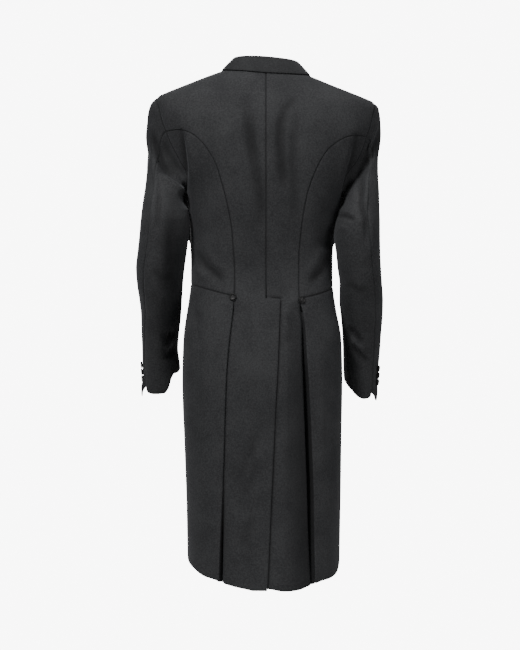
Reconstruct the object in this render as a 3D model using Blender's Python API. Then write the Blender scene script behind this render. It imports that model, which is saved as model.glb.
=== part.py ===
"""Morning coat as solids. Each cloth piece is a closed panel with a real wall, on the worn coat's surface.

The wearer faces +Y, the back faces -Y. Metres, +Z up. The origin is the hold point at the base of the neck.
Seams of the back are drawn in a view from behind, 4.2 m away, in units of 2.12 mm across and down.
"""

import math

import bpy
import numpy as np

WALL = 0.0018
HALF_SEAM = 0.00015
COLLAR_WALL = 0.0022
FOLD_GAP = 0.0004
LAPEL_LIFT = 0.0008
VENT_RECESS = 0.0032
PLEAT_RECESS = 0.0050
PLEAT_REACHES = (0.016, 0.034)
PLEAT_FADE = (0.060, 0.014)
VENT_FADE = (0.034, 0.006)
PLEAT_PULL_IN = 0.0007
TURNED_REACHES = (0.013, 0.026)
UNDER_CLEAR = 0.0055
TURNED_CLEAR = 0.0022
VENT_LAP_UNITS = 14.0
UNDERLAP_UNITS = 7.0
BUTTON_LIFT, CUFF_BUTTON_LIFT = 0.0005, 0.0009

UNIT = 0.00212
EYE_DISTANCE = 4.2
EYE_ACROSS, EYE_DOWN = 260.0, 325.0
EYE_X, EYE_Z = -0.00954, -0.53212
QUARTER_STEPS = 90

# height, half width, back depth, front depth, squareness of the section
SECTION_TABLE = (
    (-1.120, 0.1598, 0.1255, 0.096, 2.35),
    (-1.022, 0.1612, 0.1275, 0.100, 2.35),
    (-0.920, 0.1630, 0.1295, 0.104, 2.35),
    (-0.784, 0.1663, 0.1320, 0.110, 2.35),
    (-0.649, 0.1697, 0.1325, 0.118, 2.35),
    (-0.564, 0.1675, 0.1225, 0.120, 2.30),
    (-0.496, 0.1570, 0.1070, 0.117, 2.25),
    (-0.474, 0.1536, 0.1010, 0.1145, 2.22),
    (-0.440, 0.1500, 0.0950, 0.112, 2.20),
    (-0.410, 0.1499, 0.0925, 0.113, 2.20),
    (-0.360, 0.1520, 0.0975, 0.1185, 2.22),
    (-0.300, 0.1584, 0.1075, 0.1215, 2.25),
    (-0.262, 0.1635, 0.1130, 0.122, 2.28),
    (-0.240, 0.1700, 0.1150, 0.120, 2.30),
    (-0.200, 0.1880, 0.1170, 0.115, 2.32),
    (-0.150, 0.2130, 0.1140, 0.104, 2.32),
    (-0.100, 0.2310, 0.1050, 0.090, 2.28),
    (-0.070, 0.2340, 0.0955, 0.080, 2.20),
    (-0.055, 0.2280, 0.0895, 0.074, 2.15),
    (-0.047, 0.2120, 0.0855, 0.070, 2.12),
    (-0.038, 0.1900, 0.0815, 0.066, 2.10),
    (-0.021, 0.1470, 0.0725, 0.060, 2.08),
    (-0.004, 0.1035, 0.0630, 0.053, 2.05),
    (0.000, 0.0920, 0.0605, 0.050, 2.05),
    (0.004, 0.0820, 0.0580, 0.047, 2.05),
    (0.008, 0.0750, 0.0562, 0.044, 2.05),
    (0.013, 0.0700, 0.0548, 0.042, 2.05),
)

# height, sideways shift of the whole section
SHIFT_TABLE = (
    (-1.120, -0.0020),
    (-0.920, -0.0020),
    (-0.784, -0.0033),
    (-0.649, -0.0045),
    (-0.564, -0.0045),
    (-0.496, -0.0060),
    (-0.377, -0.0056),
    (-0.340, -0.0038),
    (-0.262, -0.0005),
    (-0.180, 0.0025),
    (-0.100, 0.0030),
    (0.020, 0.0030),
)
SHOULDER_TILT = 0.0063
TILT_REACH = 0.15
TILT_FOOT, TILT_TOP = -0.36, -0.10

# Soft creases pressed into the body, drawn in the back view: path, depth in metres, half width in units
BODY_FOLDS = (
    (((248.6, 104), (248.8, 150), (250, 205), (252, 236)), -0.0022, 6.5),
    (((283, 104), (284, 150), (289, 182), (294, 205), (295, 240)), -0.0024, 6.5),
    (((266, 120), (266, 190)), 0.0010, 9.0),
    (((178, 134), (181, 150), (184.5, 172), (187, 200)), -0.0040, 3.6),
    (((191, 134), (191, 170), (193, 205)), 0.0016, 5.0),
    (((355, 141), (351, 158), (344.5, 184), (339, 205)), -0.0042, 3.8),
    (((346, 146), (341, 170), (334, 200)), 0.0016, 5.0),
    (((194, 246), (206, 266), (224, 284)), -0.0034, 5.5),
    (((192, 266), (206, 280)), 0.0014, 5.0),
    (((330, 250), (322, 270), (310, 288)), -0.0030, 5.5),
    (((335, 218), (330, 235), (326, 252)), -0.0030, 6.0),
    (((197.5, 312), (197, 330), (198.5, 350)), -0.0030, 4.5),
    (((210, 322), (206, 380), (205, 440)), 0.0018, 7.0),
    (((331, 330), (333, 400), (331, 470)), -0.0020, 7.0),
    (((288, 306), (286, 330), (285, 350)), 0.0016, 6.0),
    (((262, 440), (250, 480), (236, 510)), -0.0024, 7.0),
    (((262, 500), (250, 530), (240, 556)), -0.0022, 6.0),
    (((256, 470), (244, 500)), 0.0014, 5.0),
)
RIGHT_WEDGE = (((305, 345), (309, 400), (312.5, 470), (314.5, 530)), -0.0080, 6.0)

# Seams drawn in the back view, by side: across, down
CENTRE_SEAM = ((266.0, 298.0), (266.0, 240.0), (266.0, 180.0), (266.0, 120.0), (266.0, 71.2))
VENT_EDGE = (
    (280.2, 298.0), (279.0, 325.0), (278.0, 352.0), (277.0, 377.0), (275.3, 400.0), (273.0, 456.0),
    (270.3, 512.0), (268.0, 568.0), (266.6, 592.3),
)
PRINCESS = {
    -1: (
        (234.0, 296.0), (234.5, 274.0), (233.3, 251.0), (231.0, 225.0), (227.0, 204.0), (221.0, 181.0),
        (215.0, 162.6), (207.0, 149.0), (199.6, 139.6), (192.5, 134.0), (186.0, 130.8), (178.0, 129.4),
        (166.0, 131.5),
    ),
    1: (
        (299.6, 298.4), (299.0, 267.0), (300.0, 244.0), (303.0, 219.0), (306.7, 198.0), (312.8, 178.0),
        (319.7, 162.6), (327.4, 150.4), (336.6, 142.0), (346.0, 137.0), (355.0, 135.0), (366.5, 136.5),
    ),
}
ARMHOLE_UPPER = {
    -1: ((166.0, 131.5), (161.0, 117.0), (157.6, 103.0)),
    1: ((366.5, 136.5), (371.6, 120.0), (374.6, 108.0)),
}
ARMHOLE_LOWER = {
    -1: ((166.0, 131.5), (173.6, 149.0), (182.4, 166.0), (186.4, 177.0), (187.6, 187.0)),
    1: ((366.5, 136.5), (358.6, 158.0), (348.0, 176.0), (344.3, 186.0), (342.4, 193.0)),
}
PLEAT_LINE = {
    -1: (
        (234.0, 296.0), (232.0, 316.0), (229.5, 335.0), (227.0, 360.0), (225.3, 390.0), (223.3, 456.0),
        (221.2, 512.0), (219.0, 561.0), (218.4, 583.0),
    ),
    1: (
        (299.6, 298.4), (305.0, 322.0), (307.0, 348.0), (308.5, 372.0), (310.5, 400.0), (312.4, 442.0),
        (314.5, 498.0), (315.2, 554.0), (316.0, 585.6),
    ),
}
TAIL_HEM = {
    -1: ((252.6, 591.2), (245.0, 589.4), (237.4, 588.0), (228.0, 585.8), (218.4, 583.0)),
    1: ((259.0, 588.8), (268.2, 589.6), (286.5, 592.0), (300.5, 590.8), (308.0, 588.6), (316.0, 585.6)),
}
SKIRT_HEM = {
    -1: ((218.4, 581.2), (211.0, 578.8), (204.4, 576.6), (198.0, 572.4), (192.6, 567.4)),
    1: ((316.0, 583.4), (322.0, 581.0), (330.0, 578.4), (334.6, 575.4), (337.8, 571.0)),
}
# Front edge of the skirt below the side, by turn and height, going up
CUTAWAY = {
    -1: (
        (0.455, -1.026), (0.50, -1.011), (0.58, -0.952), (0.67, -0.864), (0.76, -0.756), (0.85, -0.630),
        (0.93, -0.520), (0.985, -0.434),
    ),
    1: (
        (0.462, -1.032), (0.50, -1.019), (0.58, -0.960), (0.67, -0.870), (0.76, -0.760), (0.85, -0.632),
        (0.93, -0.520), (0.985, -0.434),
    ),
}
# Waist seam beyond the back piece, by turn and height
WAIST_SIDE = {
    -1: ((0.30, -0.4570), (0.40, -0.4485), (0.53, -0.4440), (0.75, -0.4400), (0.985, -0.4340)),
    1: ((0.30, -0.4680), (0.40, -0.4580), (0.53, -0.4500), (0.75, -0.4420), (0.985, -0.4340)),
}
# Fullness below the front of the armhole, and the turns and heights between which it comes and goes
FULLNESS = 0.012
FULLNESS_TURNS = (0.51, 0.57, 0.63, 0.76)
FULLNESS_HEIGHTS = (-0.375, -0.335, -0.262, -0.225)
TIP = (0.5, -0.055)
NECK_POINT = (0.5, 0.006)
UNDERARM = ((0.53, -0.430), (0.531, -0.350), (0.538, -0.300), (0.556, -0.2585))
ARMPIT_BACK = ((0.435, -0.2500), (0.475, -0.2590), (0.520, -0.2625))
# Front armhole by across and height, going up
ARMHOLE_FRONT = (
    (0.1605, -0.2430), (0.1590, -0.2200), (0.1640, -0.1880), (0.1730, -0.1560), (0.1860, -0.1240),
    (0.2030, -0.0940), (0.2180, -0.0700),
)
# Roll line by across and height, going up from the button; a minus sign is past the centre front
ROLL_LINE = (
    (-0.0160, -0.4120), (-0.0040, -0.3850), (0.0080, -0.3500), (0.0220, -0.2900), (0.0350, -0.2200),
    (0.0470, -0.1400), (0.0570, -0.0700), (0.0630, -0.0250), (0.0660, 0.0000),
)
LAPEL_EDGE = (
    (0.0150, -0.3850), (0.0380, -0.3500), (0.0660, -0.2900), (0.0880, -0.2100), (0.1060, -0.1300),
    (0.1170, -0.0850), (0.1280, -0.0440),
)
LAPEL_TOP = ((0.0640, -0.0120), (0.0725, -0.0380), (0.0870, -0.0650), (0.1060, -0.0560), (0.1280, -0.0440))
LAPEL_START = {-1: -0.3880, 1: -0.3500}
LAPEL_FOOT = {-1: (0.0040, -0.3860), 1: (0.0170, -0.3480)}
LAPEL_STUB, LAPEL_PUFF, LAPEL_CLEAR = 0.0016, 0.0016, 0.02
LAPEL_RISE, LAPEL_RISE_SPAN = 0.0022, (-0.100, -0.050)

# Rows of each border and columns of each piece
RELAX_ROUNDS, TURN_LENGTH = 160, 0.46
TAIL_ROWS, PRINCESS_ROWS, CAP_ROWS, SHOULDER_ROWS, FRONT_ARM_ROWS = 13, 20, 5, 6, 8
BACK_COLUMNS, SIDE_COLUMNS, FORE_COLUMNS = 8, 7, 8
# row of the forepart above the waist seam, height where it meets the front edge
FRONT_ROWS = ((0, -0.434), (10, -0.345), (20, -0.250), (28, -0.085), (34, 0.0))
# row above the waist, where it meets the centre seam (down)
CENTRE_ROWS = ((0, 298.0), (5, 246.0), (10, 200.0), (15, 156.0), (20, 113.0), (25, 88.0), (31, 71.2))
TAIL_DOWNS = (298.0, 303.0, 311.0, 323.0, 340.0, 362.0, 390.0, 420.0, 452.0, 484.0, 516.0, 546.0, 572.0)


def smooth(keys, values, at):
    """Values between the rows of a table, by a cubic that never overshoots them."""
    keys, values = np.asarray(keys, float), np.asarray(values, float)
    gaps = np.diff(keys)
    rises = np.diff(values) / gaps
    slopes = np.zeros_like(values)
    slopes[0], slopes[-1] = rises[0], rises[-1]
    before, after = rises[:-1], rises[1:]
    near, far = 2 * gaps[1:] + gaps[:-1], gaps[1:] + 2 * gaps[:-1]
    same = before * after > 0
    safe_before, safe_after = np.where(same, before, 1.0), np.where(same, after, 1.0)
    slopes[1:-1] = np.where(same, (near + far) / (near / safe_before + far / safe_after), 0.0)
    at = np.clip(at, keys[0], keys[-1])
    i = np.clip(np.searchsorted(keys, at, side="right") - 1, 0, len(gaps) - 1)
    s = (at - keys[i]) / gaps[i]
    first = values[i] * (1 + 2 * s) * (1 - s) ** 2 + gaps[i] * slopes[i] * s * (1 - s) ** 2
    second = values[i + 1] * s**2 * (3 - 2 * s) + gaps[i] * slopes[i + 1] * s**2 * (s - 1)
    return first + second


def ramp(value, start, end):
    """0 at start, 1 at end, with level ends."""
    s = np.clip((np.asarray(value, float) - start) / (end - start), 0.0, 1.0)
    return s * s * (3 - 2 * s)


def unit(vectors):
    return vectors / np.maximum(np.linalg.norm(vectors, axis=-1, keepdims=True), 1e-12)


def seen(points):
    """Across and down in the back view."""
    scale = EYE_DISTANCE / (EYE_DISTANCE + points[..., 1]) / UNIT
    return EYE_ACROSS + (points[..., 0] - EYE_X) * scale, EYE_DOWN - (points[..., 2] - EYE_Z) * scale


def creases(points, folds):
    """How far the drawn folds lift the cloth at these points."""
    across, down = seen(points)
    lift = np.zeros_like(across)
    for path, depth, reach in folds:
        nearest = np.full_like(across, np.inf)
        for (x0, y0), (x1, y1) in zip(path, path[1:]):
            run, fall = x1 - x0, y1 - y0
            along = np.clip(((across - x0) * run + (down - y0) * fall) / (run * run + fall * fall), 0, 1)
            nearest = np.minimum(nearest, np.hypot(across - x0 - along * run, down - y0 - along * fall))
        lift += depth * np.exp(-((nearest / reach) ** 2))
    return lift


def fullness(turn, height):
    """How far the chest stands out below the front of each armhole."""
    turn = np.abs(turn)
    around = ramp(turn, *FULLNESS_TURNS[:2]) * (1 - ramp(turn, *FULLNESS_TURNS[2:]))
    return FULLNESS * around * ramp(height, *FULLNESS_HEIGHTS[:2]) * (1 - ramp(height, *FULLNESS_HEIGHTS[2:]))


class CoatSurface:
    """Outer face of the coat by turn (0 centre back, 0.5 side, 1 centre front, left minus) and height."""

    def __init__(self):
        keys, *columns = np.array(SECTION_TABLE).T
        self.heights = np.concatenate(
            [np.arange(-1.12, -0.30, 0.01), np.arange(-0.30, -0.08, 0.004), np.arange(-0.08, 0.0131, 0.001)]
        )
        swing = np.linspace(0.0, math.pi / 2, 181)
        grid = []
        lengths = []
        for height in self.heights:
            width, back, front, square = (float(smooth(keys, column, height)) for column in columns)
            across = width * np.sin(swing) ** (2 / square)
            inward = np.cos(swing) ** (2 / square)
            quarters = []
            for reach in (-back, front):
                line = np.stack([across, reach * inward], -1)
                run = np.concatenate([[0.0], np.cumsum(np.linalg.norm(np.diff(line, axis=0), axis=1))])
                even = np.linspace(0.0, run[-1], QUARTER_STEPS + 1)
                quarters.append(np.stack([np.interp(even, run, line[:, k]) for k in (0, 1)], -1))
                lengths.append(run[-1])
            outline = np.concatenate([quarters[0], quarters[1][-2::-1]])
            grid.append(np.column_stack([outline, np.full(len(outline), height)]))
        self.points = np.array(grid)
        self.lengths = np.array(lengths).reshape(-1, 2)
        turns = np.linspace(0.0, 1.0, 2 * QUARTER_STEPS + 1)
        around = np.gradient(self.points, turns, axis=1)
        up = np.gradient(self.points, self.heights, axis=0)
        normals = np.cross(around, up)
        normals[:, (0, -1), 0] = 0.0
        self.normals = unit(normals)
        self.turns = turns

    def shift(self, height):
        keys, values = np.array(SHIFT_TABLE).T
        return smooth(keys, values, height)

    def tilt(self, across, height):
        lean = np.sin(np.clip(across / TILT_REACH, -1, 1) * math.pi / 2)
        return -SHOULDER_TILT * lean * ramp(height, TILT_FOOT, TILT_TOP)

    def look(self, turn, height):
        turn, height = np.broadcast_arrays(np.asarray(turn, float), np.asarray(height, float))
        side = np.where(turn < 0, -1.0, 1.0)
        turn = np.abs(turn)
        side = np.where(turn > 1, -side, side)
        turn = np.where(turn > 1, 2 - turn, turn)
        row = np.interp(height, self.heights, np.arange(len(self.heights)))
        col = turn * 2 * QUARTER_STEPS
        i = np.clip(row.astype(int), 0, len(self.heights) - 2)
        j = np.clip(col.astype(int), 0, 2 * QUARTER_STEPS - 1)
        a, b = (row - i)[..., None], (col - j)[..., None]
        found = []
        for table in (self.points, self.normals):
            value = (
                table[i, j] * (1 - a) * (1 - b)
                + table[i + 1, j] * a * (1 - b)
                + table[i, j + 1] * (1 - a) * b
                + table[i + 1, j + 1] * a * b
            )
            value[..., 0] *= side
            found.append(value)
        return found[0], unit(found[1])

    def settle(self, points):
        """The pose of the worn coat: sections shifted sideways and the right shoulder lower than the left."""
        across, depth, height = np.moveaxis(points, -1, 0)
        return np.stack([across + self.shift(height), depth, height + self.tilt(across, height)], -1)

    def point(self, turn, height, lift=0.0, extra=()):
        base, normal = self.look(turn, height)
        placed = self.settle(base)
        behind = 1 - ramp(np.abs(turn), 0.47, 0.53)
        lift = lift + creases(placed, BODY_FOLDS + tuple(extra)) * behind + fullness(turn, height)
        return placed + normal * lift[..., None]

    def pushed(self, points, side, clear):
        """Points under an arm moved out where they are less than this far off the coat."""
        turns, heights = np.meshgrid(np.linspace(0.36, 0.66, 61) * side, np.arange(-0.38, -0.14, 0.004))
        skin = self.point(turns, heights).reshape(-1, 3)
        out = self.look(turns, heights)[1].reshape(-1, 3)
        flat = points.reshape(-1, 3)
        nearest = np.array([((skin - place) ** 2).sum(1).argmin() for place in flat])
        off = ((flat - skin[nearest]) * out[nearest]).sum(1)
        short = np.maximum(np.broadcast_to(clear, points.shape[:2]).reshape(-1) - off, 0.0)
        return (flat + out[nearest] * short[:, None]).reshape(points.shape)

    def step(self, turn, height, distance):
        """The turn that lies this far along the cloth, away from the centre back."""
        back, front = (np.interp(height, self.heights, self.lengths[:, k]) for k in (0, 1))
        return turn + distance / (2 * np.where(np.abs(turn) < 0.5, back, front))

    def find(self, across, height, front=False):
        """Turn and height of places given by their across and height in the world."""
        across, height = np.broadcast_arrays(np.asarray(across, float), np.asarray(height, float))
        low, wide = height.copy(), across.copy()
        for _ in range(5):
            wide = across - self.shift(low)
            low = height - self.tilt(wide, low)
        row = np.interp(low, self.heights, np.arange(len(self.heights)))
        turn = np.empty_like(wide)
        for place in np.ndindex(wide.shape):
            i = min(int(row[place]), len(self.heights) - 2)
            part = row[place] - i
            xs = self.points[i, :, 0] * (1 - part) + self.points[i + 1, :, 0] * part
            half = slice(QUARTER_STEPS, None) if front else slice(0, QUARTER_STEPS + 1)
            keys, values = xs[half], self.turns[half]
            if front:
                keys, values = keys[::-1], values[::-1]
            turn[place] = np.interp(abs(wide[place]), keys, values)
        side = np.where(wide < 0, -1.0, 1.0)
        return np.stack([turn * side, low], -1)

    def drawn(self, path):
        """Turn and height of a path drawn in the back view."""
        across, down = np.asarray(path, float).T
        depth = np.full_like(across, -0.09)
        for _ in range(6):
            scale = (EYE_DISTANCE + depth) / EYE_DISTANCE * UNIT
            place = self.find(EYE_X + (across - EYE_ACROSS) * scale, EYE_Z - (down - EYE_DOWN) * scale)
            depth = self.look(place[:, 0], place[:, 1])[0][:, 1]
        return place

    def on_front(self, path, side):
        """Turn and height of a path by across and height on one front; minus across is past the centre."""
        across, height = np.asarray(path, float).T
        row = np.interp(height, self.heights, np.arange(len(self.heights)))
        turns = []
        for wide, place in zip(across, row):
            i = min(int(place), len(self.heights) - 2)
            xs = self.points[i, :, 0] * (1 - place + i) + self.points[i + 1, :, 0] * (place - i)
            turn = np.interp(abs(wide), xs[QUARTER_STEPS:][::-1], self.turns[QUARTER_STEPS:][::-1])
            turns.append(turn if wide >= 0 else 2 - turn)
        return np.column_stack([np.array(turns) * side, height])

    def trace(self, path, count):
        """This many steps, evenly spaced over the cloth, along a smooth line through the path."""
        path = np.asarray(path, float)
        spans = np.linalg.norm(np.diff(self.look(path[:, 0], path[:, 1])[0], axis=0), axis=1)
        keys = np.concatenate([[0.0], np.cumsum(np.maximum(spans, 1e-6))])
        fine = np.linspace(0.0, keys[-1], 400)
        line = np.stack([smooth(keys, path[:, k], fine) for k in (0, 1)], -1)
        spans = np.linalg.norm(np.diff(self.look(line[:, 0], line[:, 1])[0], axis=0), axis=1)
        run = np.concatenate([[0.0], np.cumsum(spans)])
        even = np.linspace(0.0, run[-1], count + 1)
        return np.stack([np.interp(even, run, line[:, k]) for k in (0, 1)], -1)


def patch(bottom, top, first, last):
    """Grid of surface coordinates between four border lines; first and last run from bottom to top."""
    rows, columns = len(first) - 1, len(bottom) - 1
    v = np.linspace(0, 1, rows + 1)[:, None, None]
    u = np.linspace(0, 1, columns + 1)[None, :, None]
    sides = first[:, None] * (1 - u) + last[:, None] * u
    ends = bottom[None] * (1 - v) + top[None] * v
    corners = (bottom[0] * (1 - u) + bottom[-1] * u) * (1 - v) + (top[0] * (1 - u) + top[-1] * u) * v
    return relaxed(sides + ends - corners)


def relaxed(grid):
    """The inner places of a grid evened out between its fixed borders, with no fold in it."""
    flat = grid * (TURN_LENGTH, 1.0)
    for _ in range(RELAX_ROUNDS):
        up, across = (flat[2:, 1:-1] - flat[:-2, 1:-1]) / 2, (flat[1:-1, 2:] - flat[1:-1, :-2]) / 2
        alpha, gamma = ((way * way).sum(-1, keepdims=True) for way in (across, up))
        beta = (up * across).sum(-1, keepdims=True)
        twist = flat[2:, 2:] - flat[:-2, 2:] - flat[2:, :-2] + flat[:-2, :-2]
        wanted = alpha * (flat[2:, 1:-1] + flat[:-2, 1:-1]) + gamma * (flat[1:-1, 2:] + flat[1:-1, :-2])
        flat[1:-1, 1:-1] = (wanted - beta * twist / 2) / (2 * (alpha + gamma))
    return flat / (TURN_LENGTH, 1.0)


def borders(grid):
    """The four borders of a grid, each with the line next to it."""
    return {
        "bottom": (grid[0], grid[1]),
        "top": (grid[-1], grid[-2]),
        "first": (grid[:, 0], grid[:, 1]),
        "last": (grid[:, -1], grid[:, -2]),
    }


def seam_gap(outer, inner, normals, sides):
    """Half of the seam gap taken off these borders, square to each of them."""
    for name in sides:
        line, beside = borders(outer)[name]
        across = unit(np.cross(borders(normals)[name][0], np.gradient(line, axis=0)))
        turned = np.where((across * (beside - line)).sum(-1, keepdims=True).mean() < 0, -1.0, 1.0)
        for face in (outer, inner):
            borders(face)[name][0][...] += across * turned * HALF_SEAM


# Direction that settles which way the wall at an edge is halved, so that two pieces at a seam agree
WALL_ORDER = np.array((0.31, 0.17, 0.93))


def panel_object(name, outer, inner, material, cells=None):
    """A closed panel from its outer and inner points; cells says which squares of the grid it has."""
    rows, columns = outer.shape[:2]
    if cells is None:
        cells = np.ones((rows - 1, columns - 1), bool)
    number = np.arange(rows * columns).reshape(rows, columns)
    under = number + rows * columns
    faces = []
    for i, j in np.argwhere(cells):
        a, b, c, d = (i, j), (i, j + 1), (i + 1, j + 1), (i + 1, j)
        faces += [(number[a], number[b], number[c]), (number[a], number[c], number[d])]
        faces += [(under[a], under[c], under[b]), (under[a], under[d], under[c])]
        beside = ((i - 1, j), (i, j + 1), (i + 1, j), (i, j - 1))
        for (start, end), (m, n) in zip(((a, b), (b, c), (c, d), (d, a)), beside):
            if 0 <= m < rows - 1 and 0 <= n < columns - 1 and cells[m, n]:
                continue
            if outer[start] @ WALL_ORDER < outer[end] @ WALL_ORDER:
                faces += [(number[end], number[start], under[end]), (number[start], under[start], under[end])]
            else:
                faces += [(number[end], number[start], under[start]), (number[end], under[start], under[end])]
    points = np.concatenate([outer.reshape(-1, 3), inner.reshape(-1, 3)])
    return solid_object(name, points, np.array(faces), material)


def solid_object(name, points, faces, material):
    """One mesh object from triangles, facing out, without unused points."""
    corners = points[faces]
    if np.einsum("ij,ij->i", corners[:, 0], np.cross(corners[:, 1], corners[:, 2])).sum() < 0:
        faces = faces[:, ::-1]
    used, faces = np.unique(faces, return_inverse=True)
    mesh = bpy.data.meshes.new(name)
    mesh.from_pydata(points[used].tolist(), [], faces.reshape(-1, 3).tolist())
    mesh.materials.append(material)
    mesh.update()
    made = bpy.data.objects.new(name, mesh)
    bpy.data.collections[COLLECTION].objects.link(made)
    return made


COLLECTION = "morning_coat"
# name, colour, roughness, metallic
MATERIALS = (("wool", (0.030, 0.031, 0.034), 0.85, 0.0), ("horn", (0.012, 0.012, 0.013), 0.45, 0.0))


def make_material(name, colour, roughness, metallic):
    material = bpy.data.materials.new(name)
    material.use_nodes = True
    shader = material.node_tree.nodes["Principled BSDF"]
    shader.inputs["Base Color"].default_value = (*colour, 1.0)
    shader.inputs["Roughness"].default_value = roughness
    shader.inputs["Metallic"].default_value = metallic
    return material


class Seams:
    """Border lines of one side, each made once, so that both pieces at a seam share its points."""

    def __init__(self, surface, side):
        def mirrored(path):
            return [(turn * side, height) for turn, height in path]

        self.surface, self.side = surface, side
        tip, neck = (TIP[0] * side, TIP[1]), (NECK_POINT[0] * side, NECK_POINT[1])
        princess = surface.drawn(PRINCESS[side])
        self.princess = surface.trace(princess, PRINCESS_ROWS)
        self.cap = surface.trace([*surface.drawn(ARMHOLE_UPPER[side]), tip], CAP_ROWS)
        self.shoulder = surface.trace([tip, (0.5 * side, -0.030), (0.5 * side, -0.012), neck], SHOULDER_ROWS)
        armpit = mirrored(UNDERARM)[-1]
        lower = [*surface.drawn(ARMHOLE_LOWER[side]), *mirrored(ARMPIT_BACK), armpit]
        self.armhole_back = surface.trace(lower, SIDE_COLUMNS)
        front = surface.on_front(ARMHOLE_FRONT, side)
        self.armhole_front = surface.trace([armpit, *front, tip], FRONT_ARM_ROWS)
        waist = [tuple(princess[0]), *mirrored(WAIST_SIDE[side])]
        turns = np.array([abs(turn) for turn, _ in waist])
        drops = np.array([height for _, height in waist])
        under = UNDERARM[0][0]
        side_turns = np.linspace(turns[0], under, SIDE_COLUMNS + 1)
        fore_turns = np.linspace(under, turns[-1], FORE_COLUMNS + 1)
        self.waist_side = np.column_stack([side_turns * side, smooth(turns, drops, side_turns)])
        self.waist_fore = np.column_stack([fore_turns * side, smooth(turns, drops, fore_turns)])
        self.underarm = surface.trace([tuple(self.waist_side[-1]), *mirrored(UNDERARM)[1:]], PRINCESS_ROWS)
        self.roll = surface.on_front(ROLL_LINE, side)
        rows = PRINCESS_ROWS + FRONT_ARM_ROWS + SHOULDER_ROWS
        edge = surface.trace([tuple(self.waist_fore[-1]), *self.roll], 10 * rows)
        heights = smooth(*np.array(FRONT_ROWS).T, np.arange(rows + 1))
        self.front_edge = np.column_stack([np.interp(heights, edge[:, 1], edge[:, 0]), heights])
        self.front_edge[(0, -1),] = edge[(0, -1),]
        self.neckline = surface.trace([neck, (0.58 * side, 0.0065), tuple(self.roll[-1])], FORE_COLUMNS)
        across, down = np.array(PLEAT_LINE[side]).T
        downs = np.array([down[0], *TAIL_DOWNS[1:], down[-1]])
        self.pleat = surface.drawn(np.column_stack([smooth(down, across, downs), downs]))
        self.skirt_hem = surface.drawn(SKIRT_HEM[side])

    def under_rise(self, turn, rows_up, clear):
        """How much higher the cloth under the pleat is cut, so that it stays above the skirt's hem."""
        hem = self.skirt_hem
        rise = np.interp(np.abs(turn), np.abs(hem[:, 0]), hem[:, 1]) - hem[0, 1] + clear
        return np.maximum(rise, 0.0) * ramp(rows_up, 3.0, 0.0)


def sheet(surface, grid, lift, extra=(), wall=WALL):
    """Outer and inner points and normals of a grid of surface coordinates, this far above the surface."""
    turn, height = grid[..., 0], grid[..., 1]
    outer = surface.point(turn, height, lift, extra)
    inner = surface.point(turn, height, lift - wall, extra)
    return outer, inner, surface.look(turn, height)[1]


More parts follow.
